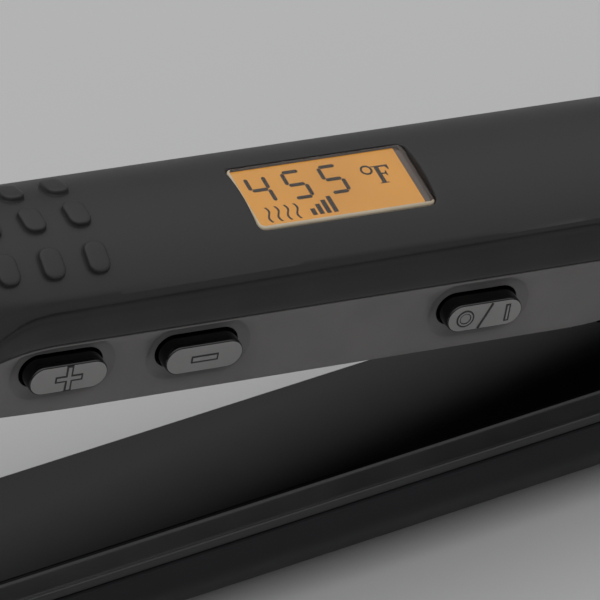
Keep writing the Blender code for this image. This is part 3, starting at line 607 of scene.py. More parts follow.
def control_strip(looks):
    x0, x1 = strip_low.x, strip_high.x
    holes_x = {}
    xs = [mix(x0, x1, 0.5 - 0.5 * math.cos(math.pi * i / 90)) for i in range(91)]
    xs += [x0 + d for d in (0.02, 0.1)] + [x1 - d for d in (0.02, 0.1)]
    xs = sorted({round(x, 4) for x in xs})
    for name in BUTTONS:
        centre = button_centre(name)[0].x
        holes_x[name] = (centre - BUTTON_CELL, centre + BUTTON_CELL)
        xs = [x for x in xs if abs(x - centre) >= BUTTON_CELL + 0.2]
        xs = sorted(xs + spread(*holes_x[name], 22))
    levels = (0.0, 0.12, 0.3, 0.5, 0.7, 0.88, 1.0)
    fine = [mix(a, b, t) for a, b in zip(levels, levels[1:]) for t in (0.0, 0.5)] + [1.0]
    front, back = [], []
    for x in xs:
        low, high = edge_z(x), strip_top(x) - HAIRLINE
        high = max(high, low + 0.05)
        edge = min(STRIP_CHAMFER, (high - low) / 3.0)
        zs = [mix(low + edge, high - edge, t) for t in fine]
        column = [(x, STRIP_BACK, low), (x, -HALF_W + edge, low),
                  (x, -HALF_W + STRIP_EASE, low + STRIP_EASE)]
        column += [(x, -HALF_W, z) for z in zs]
        column += [(x, -HALF_W + STRIP_EASE, high - STRIP_EASE), (x, -HALF_W + edge, high),
                   (x, STRIP_BACK, high)]
        front.append(column)
        back.append([(x, STRIP_BACK, low)] * 3 + [(x, STRIP_BACK, z) for z in zs]
                    + [(x, STRIP_BACK, high)] * 3)
    rows_front, rows_back = rows_of(front), rows_of(back)
    j0, j1 = 3, 3 + len(fine) - 1
    holes = [(*(index_of(xs, x) for x in holes_x[name]), j0, j1) for name in BUTTONS]
    skin = Skin()
    front_ids, back_ids = skin.sandwich(rows_front, rows_back, holes)
    reach, depth = DISH
    r = BUTTON_BASE[1] / 2.0 + BUTTON_GAP
    profile = [(r + 0.12 + reach * t, depth * (1.0 - t * t)) for t in spread(1.0, 0.0, 9)]
    lip = [(r + 0.04, depth + 0.04), (r, depth + 0.15), (r, STRIP_BACK + HALF_W)]
    for name, hole in zip(BUTTONS, holes):
        centre = button_centre(name)[0]
        uv = [(p[0], p[2]) for p in loop(rows_front, hole)]
        lines = spokes(uv, (centre.x, centre.z), BUTTON_BASE[0] + 2.0 * BUTTON_GAP,
                       BUTTON_BASE[1] + 2.0 * BUTTON_GAP, r)

        def place(u, v, inwards):
            low, high = edge_z(u), strip_top(u) - HAIRLINE
            return (u, -HALF_W + inwards,
                    min(max(v, low + STRIP_CHAMFER), high - STRIP_CHAMFER))

        last = rings(skin, lines, profile, place, loop(front_ids, hole))
        last = rings(skin, lines, lip, place, last, slot=1)
        skin.bridge(last, loop(back_ids, hole), closed=True, slot=1)
    made = to_object("satin_control_strip", skin, looks, OPENED)
    return finish_piece(made, "upper_arm", ["control_strip"])


def plate(skin, outline, place, low, high, slot=0):
    """A flat shape with its outline in two axes, from one height to another."""
    foot = skin.row([place(u, v, low) for u, v in outline])
    face = skin.row([place(u, v, high) for u, v in outline])
    skin.face(foot[::-1], slot)
    skin.bridge(foot, face, closed=True, slot=slot)
    skin.face(face, slot)


def button(name, looks):
    """Cap with gloss sides and a satin face that carries its sign."""
    centre, face_y = button_centre(name)
    core = BUTTON_FACE[0] - BUTTON_FACE[1]
    lines = even_spokes(core + 2.0, 2.0, 1.0, 14)
    face_r, base_r = BUTTON_FACE[1] / 2.0, BUTTON_BASE[1] / 2.0

    def place(u, v, inwards):
        return (centre.x + u, face_y + inwards, centre.z + v)

    skin = Skin()
    faces = [(0.0, -0.03), (face_r * 0.5, -0.02), (face_r - 0.35, 0.0), (face_r - 0.18, 0.03)]
    last = rings(skin, lines, faces, place, slot=0)
    side = [(face_r - 0.06, 0.10), (face_r, 0.24), (mix(face_r, base_r, 0.3), 0.9),
            (mix(face_r, base_r, 0.8), 1.8), (base_r, 2.6), (base_r, 3.85),
            (base_r + FLANGE_W, FLANGE_TOP), (base_r + FLANGE_W, BUTTON_DEPTH)]
    last = rings(skin, lines, side, place, first=last, slot=1)
    last = rings(skin, lines, [(1.5, BUTTON_DEPTH), (0.0, BUTTON_DEPTH)], place, first=last, slot=1)
    # the wider dark plates under the signs are painted shade
    for shapes, ring, top, slot in ((SHADES, SHADE_RING, SHADE_TOP, 1),
                                    (SIGNS, OFF_RING, SIGN_TOP, 2)):
        for outline in shapes[name]:
            plate(skin, outline, place, SIGN_FOOT, top, slot)
        if name == "power":
            ring_plate(skin, OFF_CENTRE, *ring, place, SIGN_FOOT, top, slot)
    made = to_object(name + "_button_cap", skin, looks, OPENED)
    return finish_piece(made, name + "_button", ["button_" + name])


def bar(x0, z0, x1, z1, width):
    """A straight stroke of even width."""
    size = math.hypot(x1 - x0, z1 - z0)
    nx, nz = -(z1 - z0) / size * width / 2.0, (x1 - x0) / size * width / 2.0
    return [(x0 - nx, z0 - nz), (x1 - nx, z1 - nz), (x1 + nx, z1 + nz), (x0 + nx, z0 + nz)]


def cross(length, width):
    a, b = length / 2.0, width / 2.0
    return [(-a, -b), (-b, -b), (-b, -a), (b, -a), (b, -b), (a, -b), (a, b), (b, b),
            (b, a), (-b, a), (-b, b), (-a, b)]


# Each sign is a satin stroke on a slightly wider dark one, both barely raised; the dark one
# is painted shade for the walls of a raised sign. The slash of the power sign is dark only.
SIGNS = {
    "plus": [cross(3.6, 0.5)],
    "minus": [bar(-1.8, 0.0, 1.8, 0.0, 0.6)],
    "power": [bar(3.5, -1.15, 3.5, 1.15, 0.26)],
}
SHADES = {
    "plus": [cross(4.1, 1.02)],
    "minus": [bar(-2.05, 0.0, 2.05, 0.0, 1.12)],
    "power": [bar(-0.85, -1.95, 0.95, 1.95, 0.34), bar(3.5, -1.4, 3.5, 1.4, 0.76)],
}
OFF_CENTRE = (-3.1, 0.0)
OFF_RING = (1.13, 0.90)                  # outer and inner radius
SHADE_RING = (1.38, 0.76)
SIGN_FOOT, SHADE_TOP, SIGN_TOP = 0.3, -0.07, -0.09  # depths into the button's face


# ---------------------------------------------------------------- display
LENS_TOP, LENS_BOTTOM = -0.75, -1.95     # heights from the crown, along the tilt
LENS_GAP = 0.14
LCD_TOP, LCD_BOTTOM = -2.05, -3.3
LCD_SIZE = (28.6, 13.0)
LCD_ROUND = 0.4
LCD_CORNER = (-12.7, 5.7)                # upper left corner of the lit field
LIT_EDGE = (12.5, 5.85)                  # right and upper edge of the lit field; past them the panel carries painted shade


def tilted(u, v, height):
    return DISPLAY @ Vector((u, v, height))


def lens(looks):
    """Clear block that fills the window; two of its sides carry a painted highlight in bright cream."""
    r = WINDOW[2] - LENS_GAP
    lines = even_spokes(WINDOW[0] - 2 * LENS_GAP, WINDOW[1] - 2 * LENS_GAP, r, 8)
    skin = Skin()
    last = rings(skin, lines, [(r, LENS_BOTTOM)], tilted)
    close(skin, last[::-1])
    profile = [(r, LENS_TOP - 0.4), (r - 0.08, LENS_TOP - 0.2), (r - 0.34, LENS_TOP - 0.02),
               (r - 0.45, LENS_TOP)]
    last = rings(skin, lines, profile, tilted, last)
    close(skin, last)
    made = to_object("window_lens", skin, looks, OPENED)
    turn = (OPENED @ DISPLAY).to_3x3().inverted()
    # Painted highlight: the sides facing left and towards the buttons get the bright cream colour of light caught
    # on the edge.
    for side in made.data.polygons:
        way = turn @ side.normal
        side.material_index = 1 if min(way.x, way.y) < -0.3 and way.z > -0.5 else 0
    return finish_piece(made, "upper_arm", ["display_lens"])


def lcd(looks):
    lines = even_spokes(*LCD_SIZE, LCD_ROUND, 3)
    skin = Skin()
    last = rings(skin, lines, [(LCD_ROUND, LCD_BOTTOM)], tilted)
    close(skin, last[::-1])
    profile = [(LCD_ROUND, LCD_TOP - 0.05), (LCD_ROUND - 0.05, LCD_TOP)]
    last = rings(skin, lines, profile, tilted, last)
    close(skin, last)
    right, upper = LIT_EDGE
    half_u, half_v = LCD_SIZE[0] / 2.0 - 0.05, LCD_SIZE[1] / 2.0 - 0.05
    # Painted shade: dark brown bands along the right and upper edges stand for the shaded walls of the window over
    # them.
    for u0, v0, u1, v1 in ((right, -half_v, half_u, half_v), (-half_u, upper, right, half_v)):
        shade_band = [(u0, v0), (u1, v0), (u1, v1), (u0, v1)]
        plate(skin, shade_band, tilted, LCD_TOP - 0.02, LCD_TOP + 0.07, slot=1)
    made = to_object("lit_panel", skin, looks, OPENED)
    return finish_piece(made, "upper_arm", ["lcd_panel"])


DIGIT = (3.3, 5.6)                       # width and height of a figure
STROKE = 0.6
DIGIT_LEFT = (1.15, 6.8, 12.45)          # left edges of the three figures
DIGIT_TOP = -1.1
SEGMENTS = {"4": "fgbc", "5": "afgcd"}


def segment(letter, left, top):
    """One bar of a seven-segment figure, with pointed ends."""
    w, h = DIGIT
    s = STROKE / 2.0
    low, mid, high = top - h + s, top - h / 2.0, top - s
    a, b = left + s, left + w - s
    ends = {"a": (a, high, b, high), "g": (a, mid, b, mid), "d": (a, low, b, low),
            "f": (a, high, a, mid), "b": (b, high, b, mid), "c": (b, mid, b, low)}[letter]
    x0, z0, x1, z1 = ends
    size = math.hypot(x1 - x0, z1 - z0)
    ux, uz = (x1 - x0) / size, (z1 - z0) / size
    nx, nz = -uz, ux
    tip, full = 0.1, 0.1 + s * 0.75
    spots = ((tip, 0.0), (full, -s), (size - full, -s), (size - tip, 0.0),
             (size - full, s), (full, s))
    return [(x0 + ux * t + nx * o, z0 + uz * t + nz * o) for t, o in spots]


def wave(left, top, height, width, sway):
    """A rising heat line: a stroke that sways to both sides."""
    right_side, left_side = [], []
    for t in spread(0.0, 1.0, 12):
        x = left + sway * math.sin(2.0 * math.pi * t)
        z = top - height * t
        right_side.append((x + width / 2.0, z))
        left_side.append((x - width / 2.0, z))
    return left_side + right_side[::-1]


def ring_plate(skin, centre, outer, inner, place, low, high, slot=0):
    lines = round_spokes(*centre, 12)
    skin_rings = rings(skin, lines, [(outer, low), (outer, high), (inner, high), (inner, low)],
                       place, slot=slot)
    first = skin.row([place(u + du * outer, v + dv * outer, low) for u, v, du, dv in lines])
    skin.bridge(skin_rings, first, closed=True, slot=slot)


def lcd_ink(look):
    """Dark figures, degree sign, heat lines and level bars on the lit field."""
    skin = Skin()
    low, high = LCD_TOP + 0.005, LCD_TOP + 0.03

    def place(u, v, height):
        return tilted(u + LCD_CORNER[0], v + LCD_CORNER[1], height)

    for left, figure in zip(DIGIT_LEFT, "455"):
        for letter in SEGMENTS[figure]:
            plate(skin, segment(letter, left, DIGIT_TOP), place, low, high)
    ring_plate(skin, (19.5, -3.2), 0.92, 0.6, place, low, high)
    letter = [(20.3, -2.65), (22.9, -2.65), (22.9, -3.55), (22.72, -3.55), (22.45, -2.95),
              (21.45, -2.95), (21.45, -4.1), (22.0, -4.1), (22.1, -3.75), (22.25, -3.75),
              (22.25, -4.7), (22.1, -4.7), (22.0, -4.35), (21.45, -4.35), (21.45, -5.85),
              (21.85, -5.95), (21.85, -6.05), (20.4, -6.05), (20.4, -5.95), (20.8, -5.85),
              (20.8, -2.85), (20.3, -2.75)]
    plate(skin, letter[::-1], place, low, high)
    for k in range(4):
        plate(skin, wave(1.9 + 1.45 * k, -7.25, 2.9, 0.32, 0.28), place, low, high)
    for k, height in enumerate((1.25, 1.95, 2.55, 3.1)):
        x = 8.5 + 1.08 * k
        plate(skin, bar(x, -9.95, x, -9.95 + height, 0.7), place, low, high)
    made = to_object("display_figures", skin, [look], OPENED)
    return finish_piece(made, "upper_arm")


# ---------------------------------------------------------------- lower arm
LOWER_END_X = base_high.x
RIM_Z = base_high.z                      # top edge of the lower shell
FACE_Z = face_high.z                     # inner face of the lower arm
FACE_HALF_W = 10.3
LEDGE_Z = 15.4
REST_HALF_W = 7.5
TIP_FLOOR = 2.2
CHAMFER_Y = 9.9                          # where the far edge's chamfer starts
CHAMFER_SLOPE = 0.95
FRAME_EDGE = 1.0                         # thickness of the inner face at that edge
GLAND_Z = sum(corner.z for corner in lower_box("swivel_gland")) / 2.0
GLAND_HOLE_R = 4.5
GLAND_HOLE_X = (130.0, 150.0)
SHANK_R, SEAT_R, SEAT_DEPTH = 1.4, 2.6, 1.25  # screw seats
PLATE_LAP = 1.6                          # the plate's ends slope under the face's edge
BEYOND = 40.0                            # a height past the arm, for openings
CHAMFER_EASE = 0.3
CHAMFER_START_X = (-56.0, -49.0)
CHAMFER_FADE_X = (62.0, 84.0)
SIDE_Z, SIDE_RISE = 10.2, 5.0            # lower end of the upright side, least height
LOWER_TIP_LIFT, LOWER_REAR_LIFT = 4.0, 1.2
LOWER_REAR_WIDTH = 0.70                  # as TIP_WIDTH, at the rear


def far_drop(y):
    """How far the chamfer of the far edge lies under the inner face."""
    if y < CHAMFER_Y - CHAMFER_EASE:
        return 0.0
    if y < CHAMFER_Y + CHAMFER_EASE:
        return CHAMFER_SLOPE * (y - CHAMFER_Y + CHAMFER_EASE) ** 2 / (4.0 * CHAMFER_EASE)
    return CHAMFER_SLOPE * (y - CHAMFER_Y)


def chamfered(x, points, below):
    """Points of a section lowered under the far edge's chamfer along the handle."""
    share = blend(x, *CHAMFER_START_X) * (1.0 - blend(x, *CHAMFER_FADE_X))
    return [(y, mix(z, min(z, FACE_Z - below - far_drop(y)), share)) for y, z in points]


def lower_section(x, depth=0.0):
    """Outside of the lower shell, or its inside at a depth, rim to rim."""
    end = end_round(x, LOWER_END_X)
    rear = x > 0.0
    lift = LOWER_REAR_LIFT if rear else LOWER_TIP_LIFT
    floor = mix(TIP_FLOOR, 0.0, blend(x, *TAPER_X)) + mix(lift, 0.0, end) + depth
    half = HALF_W - depth
    side_z = max(SIDE_Z, floor + SIDE_RISE)
    curve = bezier(((0.0, floor), (REST_HALF_W * 0.5, floor), (REST_HALF_W, floor)), 4)[:-1]
    curve += bezier(((REST_HALF_W, floor), (REST_HALF_W + 0.9, floor),
                     (half, mix(floor, side_z, 0.667)), (half, side_z)), 14)
    if depth:
        edge = line((half, side_z), (half, RIM_Z - 0.25), 4)[1:] + [(half, RIM_Z)] * 3
    else:
        edge = line((half, side_z), (half, RIM_Z - 0.9), 4)[1:]
        edge += [(half - 0.05, RIM_Z - 0.4), (half - 0.2, RIM_Z - 0.1), (half - 0.45, RIM_Z)]
    half_ring = curve + edge
    width = mix(LOWER_REAR_WIDTH if rear else TIP_WIDTH, 1.0, end)
    points = [(-y, z) for y, z in half_ring[::-1]] + half_ring[1:]
    return [(y * width, z) for y, z in points]


def lower_shell(look):
    xs = [TIP_X + d for d in end_columns(TIP_ROUND)]
    xs += spread(TIP_X + TIP_ROUND, LOWER_END_X - TIP_ROUND, 110)[1:-1]
    xs += [LOWER_END_X - d for d in end_columns(TIP_ROUND)[::-1]]
    front, back = [], []
    for x in xs:
        thin = inner_x(x, LOWER_END_X, TIP_ROUND)
        under = FRAME_EDGE + GAP
        front.append([(x, y, z) for y, z in chamfered(x, lower_section(x), under)])
        back.append([(thin, y, z) for y, z in chamfered(x, lower_section(x, WALL), under)])
    shares = (0.0, 0.3, 0.6, 0.85)

    def cap(column):
        return [[(x, y * t, mix(RIM_Z, z, t)) for x, y, z in column] for t in shares]

    front = cap(front[0]) + front + cap(front[-1])[::-1]
    back = cap(back[0]) + back + cap(back[-1])[::-1]
    skin = Skin()
    skin.sandwich(rows_of(front), rows_of(back))
    made = to_object("moulded_lower_shell", skin, [look])
    hole = Skin()
    lines = round_spokes(0.0, GLAND_Z, 6)
    start, end = GLAND_HOLE_X
    last = rings(hole, lines, [(GLAND_HOLE_R, start), (GLAND_HOLE_R, end)],
                 lambda u, v, w: (w, u, v))
    close(hole, last)
    close(hole, hole.row([(start, u + du * GLAND_HOLE_R, v + dv * GLAND_HOLE_R)
                          for u, v, du, dv in lines])[::-1])
    cut(made, to_object("cutter", hole, []))
    return finish_piece(made, "lower_arm", ["lower_shell"])


def cut(target, tool):
    step = target.modifiers.new("hole", "BOOLEAN")
    step.operation = "DIFFERENCE"
    step.solver = "EXACT"
    step.object = tool
    graph = bpy.context.evaluated_depsgraph_get()
    result = bpy.data.meshes.new_from_object(target.evaluated_get(graph))
    target.modifiers.clear()
    target.data = result
    bpy.data.objects.remove(tool)
    target.data.set_sharp_from_angle(angle=math.radians(40.0))


def face_profile():
    """Half of the inner face's section: side, rib, channel, step and flat."""
    half = HALF_W - 0.7
    side = [(half, RIM_Z + GAP), (half, LEDGE_Z - 0.45), (half - 0.06, LEDGE_Z - 0.2)]
    rib = [(half - 0.18, LEDGE_Z - 0.03), (half - 0.35, LEDGE_Z + 0.03),
           (half - 0.52, LEDGE_Z - 0.02), (half - 0.68, LEDGE_Z - 0.14)]
    start, end = (half - 0.85, LEDGE_Z - 0.2), (FACE_HALF_W + 0.32, FACE_Z - 0.42)
    channel = bezier((start, (mix(start[0], end[0], 0.5), mix(start[1], end[1], 0.35)), end), 8)
    step = [(FACE_HALF_W + 0.2, FACE_Z - 0.24), (FACE_HALF_W + 0.12, FACE_Z - 0.1),
            (FACE_HALF_W + 0.02, FACE_Z - 0.03), (FACE_HALF_W - 0.12, FACE_Z)]
    flat = [(y, FACE_Z) for y in (10.05, 9.9, 9.75, 9.6, 6.0, 3.0, 0.0)]
    return side + rib + channel + step + flat


def inner_face(looks):
    """Glossy inner face of the lower arm, open where the plate floats."""
    frame_end = face_high.x
    plate_low, plate_high = lower_box("lower_heater_plate")
    profile = face_profile()
    xs = [TIP_X + d for d in end_columns(TIP_ROUND)]
    xs += spread(TIP_X + TIP_ROUND, frame_end, 90)[1:]
    columns_front, columns_back = [], []
    for x in xs:
        width = mix(TIP_WIDTH, 1.0, end_round(x))
        half = [(y * width, z) for y, z in profile]
        points = [(-y, z) for y, z in half] + half[::-1][1:]
        under = [(y, RIM_Z + GAP) for y, z in points]
        columns_front.append([(x, y, z) for y, z in chamfered(x, points, 0.0)])
        columns_back.append([(x, y, z) for y, z in chamfered(x, under, FRAME_EDGE)])
    shares = (0.0, 0.4, 0.8)

    def cap(column):
        return [[(x, y * t, z) for x, y, z in column] for t in shares]

    columns_front = cap(columns_front[0]) + columns_front
    columns_back = cap(columns_back[0]) + columns_back
    skin = Skin()
    skin.sandwich(rows_of(columns_front), rows_of(columns_back))
    made = to_object("glossy_inner_face", skin, looks, None, 30.0)
    opening = Skin()
    x0, x1 = plate_low.x - GAP + PLATE_LAP, plate_high.x + GAP - PLATE_LAP
    half = plate_high.y + GAP
    corners = [(x0, -half), (x1, -half), (x1, half), (x0, half)]
    plate(opening, corners, lambda u, v, w: (u, v, w), 0.0, BEYOND)
    cut(made, to_object("cutter", opening, []))
    for name in ("lower_screw_front", "lower_screw_rear"):
        low, high = lower_box(name)
        x = (low.x + high.x) / 2.0
        seat = Skin()
        profile = [(0.0, 0.0), (SHANK_R, 0.0), (SHANK_R, FACE_Z - SEAT_DEPTH),
                   (SEAT_R, FACE_Z - SEAT_DEPTH), (SEAT_R, FACE_Z - 0.12),
                   (SEAT_R + 0.15, FACE_Z + 0.03), (SEAT_R + 0.15, BEYOND), (0.0, BEYOND)]
        rings(seat, round_spokes(x, 0.0, 9), profile, lambda u, v, w: (u, v, w))
        cut(made, to_object("cutter", seat, []))
    for side in made.data.polygons:
        middle = side.center / MM
        side.material_index = 1 if middle.z < FACE_Z - 0.2 and middle.y < 0.0 else 0
    return finish_piece(made, "lower_arm", ["lower_inner_frame"])


# ---------------------------------------------------------------- looks
MOTTLE_SCALE, GRAIN_SCALE = 90.0, 9000.0  # of the noise, per metre
GRAIN_HEIGHT = 0.0001
# Painted reflection: the gloss cover's specular level is lowered over a band that stands for the upper arm's dark
# reflection.
PAINTED_REFLECTION_SLOPE = 0.14                        # how the painted dark reflection on the cover widens along it
PAINTED_REFLECTION_Y = -3.0                            # where the painted reflection's edge crosses x = 0
PAINTED_REFLECTION_SOFT = 9.0                          # half width of that soft edge
PAINTED_REFLECTION_LEVEL = (0.01, 0.27)                # specular level inside the painted dark reflection and outside it


def node_tree(name):
    made = bpy.data.materials.new(name)
    made.use_nodes = True
    tree = made.node_tree
    return made, tree, tree.nodes["Principled BSDF"]


def add(tree, kind, **values):
    node = tree.nodes.new(kind)
    for key, value in values.items():
        node.inputs[key.replace("_", " ")].default_value = value
    return node


def noise(tree, scale, detail, roughness=0.55):
    """Noise fixed to the piece, with its scale per metre."""
    place = tree.nodes.new("ShaderNodeTexCoord")
    made = add(tree, "ShaderNodeTexNoise", Scale=scale, Detail=detail, Roughness=roughness)
    tree.links.new(place.outputs["Object"], made.inputs["Vector"])
    return made.outputs["Fac"]


def between(tree, factor, low, high, start=0.3, end=0.7):
    """Value that runs from low to high as factor goes from start to end."""
    made = add(tree, "ShaderNodeMapRange", From_Min=start, From_Max=end, To_Min=low, To_Max=high)
    tree.links.new(factor, made.inputs["Value"])
    return made.outputs["Result"]


def tint(tree, factor, first, second, start=0.3, end=0.7):
    ramp = tree.nodes.new("ShaderNodeValToRGB")
    ramp.color_ramp.elements[0].position, ramp.color_ramp.elements[0].color = start, (*first, 1.0)
    ramp.color_ramp.elements[1].position, ramp.color_ramp.elements[1].color = end, (*second, 1.0)
    tree.links.new(factor, ramp.inputs["Fac"])
    return ramp.outputs["Color"]


def moulded(name, dark, light, roughness, specular, grain, spread_of=0.05, metallic=0.0):
    """Moulded plastic or metal: faint mottling, uneven gloss and a fine grain."""
    made, tree, shader = node_tree(name)
    cloud = noise(tree, MOTTLE_SCALE, 4.0)
    fine = noise(tree, GRAIN_SCALE, 2.0, 0.7)
    tree.links.new(tint(tree, cloud, dark, light), shader.inputs["Base Color"])
    rough = between(tree, cloud, roughness - spread_of, roughness + spread_of)
    tree.links.new(rough, shader.inputs["Roughness"])
    bump = add(tree, "ShaderNodeBump", Strength=grain, Distance=GRAIN_HEIGHT)
    tree.links.new(fine, bump.inputs["Height"])
    tree.links.new(bump.outputs["Normal"], shader.inputs["Normal"])
    shader.inputs["Specular IOR Level"].default_value = specular
    shader.inputs["Metallic"].default_value = metallic
    return made


def gloss_look():
    """Glossy cover with a painted dark reflection: its shine is lowered towards the near edge and the hinge.

    The painted reflection stands for the dark reflection of the upper arm, and doesn't follow it.
    """
    made = moulded("gloss_black", (0.0015, 0.0015, 0.0017), (0.0025, 0.0025, 0.003),
                   0.25, 0.24, 0.02, spread_of=0.03)
    tree = made.node_tree
    shader = next(n for n in tree.nodes if n.type == "BSDF_PRINCIPLED")
    spot = add(tree, "ShaderNodeSeparateXYZ")
    tree.links.new(add(tree, "ShaderNodeTexCoord").outputs["Object"], spot.inputs[0])
    along = add(tree, "ShaderNodeMath")
    along.operation = "MULTIPLY"
    along.inputs[1].default_value = -PAINTED_REFLECTION_SLOPE
    tree.links.new(spot.outputs["X"], along.inputs[0])
    across = add(tree, "ShaderNodeMath")
    tree.links.new(along.outputs[0], across.inputs[0])
    tree.links.new(spot.outputs["Y"], across.inputs[1])
    # painted dark reflection: low specular level on the near side, widening towards the hinge
    level = between(tree, across.outputs[0], *PAINTED_REFLECTION_LEVEL,
                    (PAINTED_REFLECTION_Y - PAINTED_REFLECTION_SOFT) * MM, (PAINTED_REFLECTION_Y + PAINTED_REFLECTION_SOFT) * MM)
    tree.links.new(level, shader.inputs["Specular IOR Level"])
    return made


def lit_panel_look():
    made, tree, shader = node_tree("amber_panel")
    glow = noise(tree, 60.0, 1.0)
    colour = tint(tree, glow, (0.56, 0.235, 0.010), (0.69, 0.295, 0.017))
    tree.links.new(colour, shader.inputs["Emission Color"])
    dim = tint(tree, glow, (0.05, 0.025, 0.006), (0.07, 0.035, 0.008))
    tree.links.new(dim, shader.inputs["Base Color"])
    shader.inputs["Emission Strength"].default_value = 0.8
    shader.inputs["Roughness"].default_value = 0.5
    return made


def clear_look():
    made, tree, shader = node_tree("clear_lens")
    cloud = noise(tree, 200.0, 2.0)
    tree.links.new(between(tree, cloud, 0.01, 0.03), shader.inputs["Roughness"])
    shader.inputs["Base Color"].default_value = (0.97, 0.95, 0.92, 1.0)
    shader.inputs["Transmission Weight"].default_value = 1.0
    shader.inputs["IOR"].default_value = 1.35
    shader.inputs["Specular IOR Level"].default_value = 0.35
    return made


def make_looks():
    return {
        "shell": moulded("soft_black", (0.0215, 0.0213, 0.0225), (0.0265, 0.0263, 0.0275),
                         0.5, 0.32, 0.10),
        "lower": moulded("soft_black_lower", (0.009, 0.009, 0.0105), (0.012, 0.012, 0.014),
                         0.5, 0.25, 0.10),
        "ledge": moulded("soft_black_ledge", (0.012, 0.012, 0.0135), (0.016, 0.016, 0.018),
                         0.42, 0.6, 0.15),
        "strip": moulded("satin_grey", (0.112, 0.107, 0.106), (0.142, 0.136, 0.134),
                         0.45, 0.5, 0.12),
        "gloss": gloss_look(),
        "side": moulded("gloss_side", (0.0008, 0.0008, 0.0008), (0.0016, 0.0016, 0.0016),
                        0.1, 0.5, 0.02, spread_of=0.02),
        "button": moulded("satin_button", (0.2, 0.195, 0.192), (0.24, 0.234, 0.23),
                          0.35, 0.5, 0.08),
        "sign": moulded("satin_sign", (0.2, 0.195, 0.192), (0.24, 0.234, 0.23),
                        0.3, 0.5, 0.05),
        # painted shade on the panel's right and upper edges
        "shade_band": moulded("painted_window_shade", (0.05, 0.03, 0.022), (0.075, 0.045, 0.034),
                          0.45, 0.5, 0.05),
        "lens": clear_look(),
        # painted highlight for light caught on two edges of the lens
        "lens_edge_highlight": moulded("painted_edge_highlight", (0.5, 0.42, 0.3), (0.62, 0.53, 0.4), 0.4, 0.5, 0.05),
        "lcd": lit_panel_look(),
        "ink": moulded("lcd_ink", (0.012, 0.006, 0.002), (0.02, 0.01, 0.004), 0.6, 0.05, 0.02),
        "white": moulded("white_nylon", (0.72, 0.72, 0.69), (0.82, 0.82, 0.79), 0.5, 0.5, 0.1),
        "board": moulded("solder_mask", (0.015, 0.13, 0.055), (0.025, 0.18, 0.08), 0.4, 0.5, 0.1),
        "coating": moulded("ceramic_coating", (0.06, 0.055, 0.055), (0.09, 0.082, 0.08),
                           0.24, 0.5, 0.04, metallic=0.3),
        "aluminium": moulded("pressed_aluminium", (0.62, 0.63, 0.64), (0.74, 0.75, 0.76),
                             0.34, 0.5, 0.1, metallic=1.0),
        "steel": moulded("plated_steel", (0.5, 0.5, 0.51), (0.62, 0.62, 0.63),
                         0.24, 0.5, 0.05, metallic=1.0),
        "silicone": moulded("red_silicone", (0.38, 0.08, 0.045), (0.5, 0.12, 0.07),
                            0.6, 0.4, 0.1),
        "film": moulded("amber_film", (0.4, 0.2, 0.04), (0.5, 0.28, 0.07), 0.35, 0.5, 0.1),
        "rubber": moulded("matt_rubber", (0.014, 0.014, 0.015), (0.022, 0.022, 0.023),
                          0.65, 0.4, 0.2),
    }


def dress_nodes(looks):
    """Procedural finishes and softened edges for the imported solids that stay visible."""
    slots = {s["node"]: s["material_slot"] for s in frame["record"]["subparts"]}
    for name, node in frame["nodes"].items():
        node.data.materials.clear()
        node.data.materials.append(looks[slots[name]])
        bevel = node.modifiers.new("soft_edges", "BEVEL")
        bevel.width = 0.00015
        bevel.segments = 2
        bevel.limit_method = "ANGLE"
        bevel.angle_limit = math.radians(40.0)
        bevel.use_clamp_overlap = True


# ---------------------------------------------------------------- camera and stage
LENS_MM = 460.3                          # a long lens, close to parallel sight lines
CAMERA_AT = Vector((-0.3544, -0.7400, 0.7110))
CAMERA_AIM = Vector((0.0118, 0.0077, 0.0334))
CAMERA_UP = Vector((0.2874, 0.5740, 0.7668))


def camera():
    data = bpy.data.cameras.new("camera")
    data.lens = LENS_MM
    data.clip_start = 0.05
    data.clip_end = 20.0
    made = bpy.data.objects.new("camera", data)
    bpy.context.scene.collection.objects.link(made)
    back = (CAMERA_AT - CAMERA_AIM).normalized()
    right = CAMERA_UP.cross(back).normalized()
    turn = Matrix((right, back.cross(right), back)).transposed().to_4x4()
    made.matrix_world = Matrix.Translation(CAMERA_AT) @ turn
    bpy.context.scene.camera = made


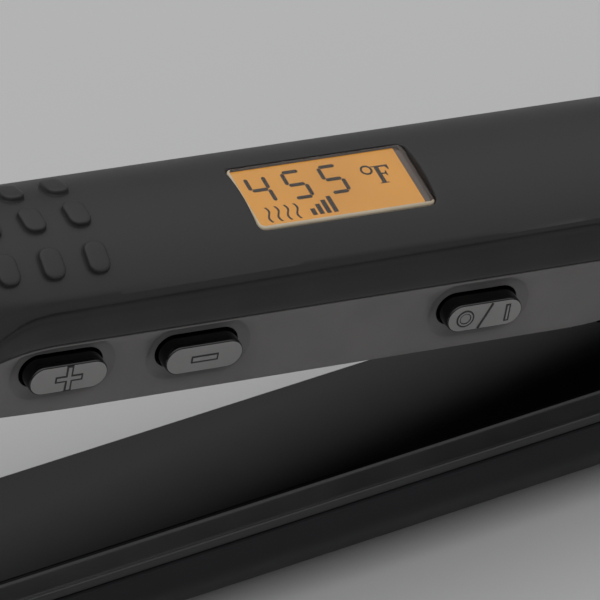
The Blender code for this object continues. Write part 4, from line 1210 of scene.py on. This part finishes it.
def stage():
    bpy.ops.mesh.primitive_plane_add(size=6.0, location=(0.0, 0.0, cad_low.z - 0.0002))
    floor = bpy.context.object
    floor.name = "floor"
    made, _, shader = node_tree("pale_floor")
    shader.inputs["Base Color"].default_value = (0.52, 0.52, 0.525, 1.0)
    shader.inputs["Roughness"].default_value = 0.8
    shader.inputs["Specular IOR Level"].default_value = 0.1
    floor.data.materials.append(made)


SKY_HEIGHT = (0.08, 1.35)                # radiance at the horizon and overhead
SKY_RISE = (0.15, 0.92)                  # sine of the elevation where it rises
SKY_DEPTH = (0.85, 1.0)                  # share left on the camera's side
SKY_FRONT = (-0.6, 0.2)                  # and where that share changes, towards the back


def lights():
    scene = bpy.context.scene
    scene.view_settings.view_transform = "Standard"
    world = bpy.data.worlds.new("studio")
    world.use_nodes = True
    tree = world.node_tree
    background = tree.nodes["Background"]
    place = tree.nodes.new("ShaderNodeTexCoord")
    parts = tree.nodes.new("ShaderNodeSeparateXYZ")
    tree.links.new(place.outputs["Generated"], parts.inputs["Vector"])
    height = between(tree, parts.outputs["Z"], *SKY_HEIGHT, *SKY_RISE)
    depth = between(tree, parts.outputs["Y"], *SKY_DEPTH, *SKY_FRONT)
    shade = tree.nodes.new("ShaderNodeMath")
    shade.operation = "MULTIPLY"
    tree.links.new(height, shade.inputs[0])
    tree.links.new(depth, shade.inputs[1])
    colour = tree.nodes.new("ShaderNodeCombineColor")
    for channel in ("Red", "Green", "Blue"):
        tree.links.new(shade.outputs["Value"], colour.inputs[channel])
    tree.links.new(colour.outputs["Color"], background.inputs["Color"])
    scene.world = world


camera()
stage()
lights()
looks = make_looks()
dress_nodes(looks)
upper_shell(looks["shell"])
control_strip([looks["strip"], looks["side"]])
for button_name in BUTTONS:
    button(button_name, [looks["button"], looks["side"], looks["sign"]])
lens([looks["lens"], looks["lens_edge_highlight"]])
lcd([looks["lcd"], looks["shade_band"]])
lcd_ink(looks["ink"])
lower_shell(looks["lower"])
inner_face([looks["gloss"], looks["ledge"]])
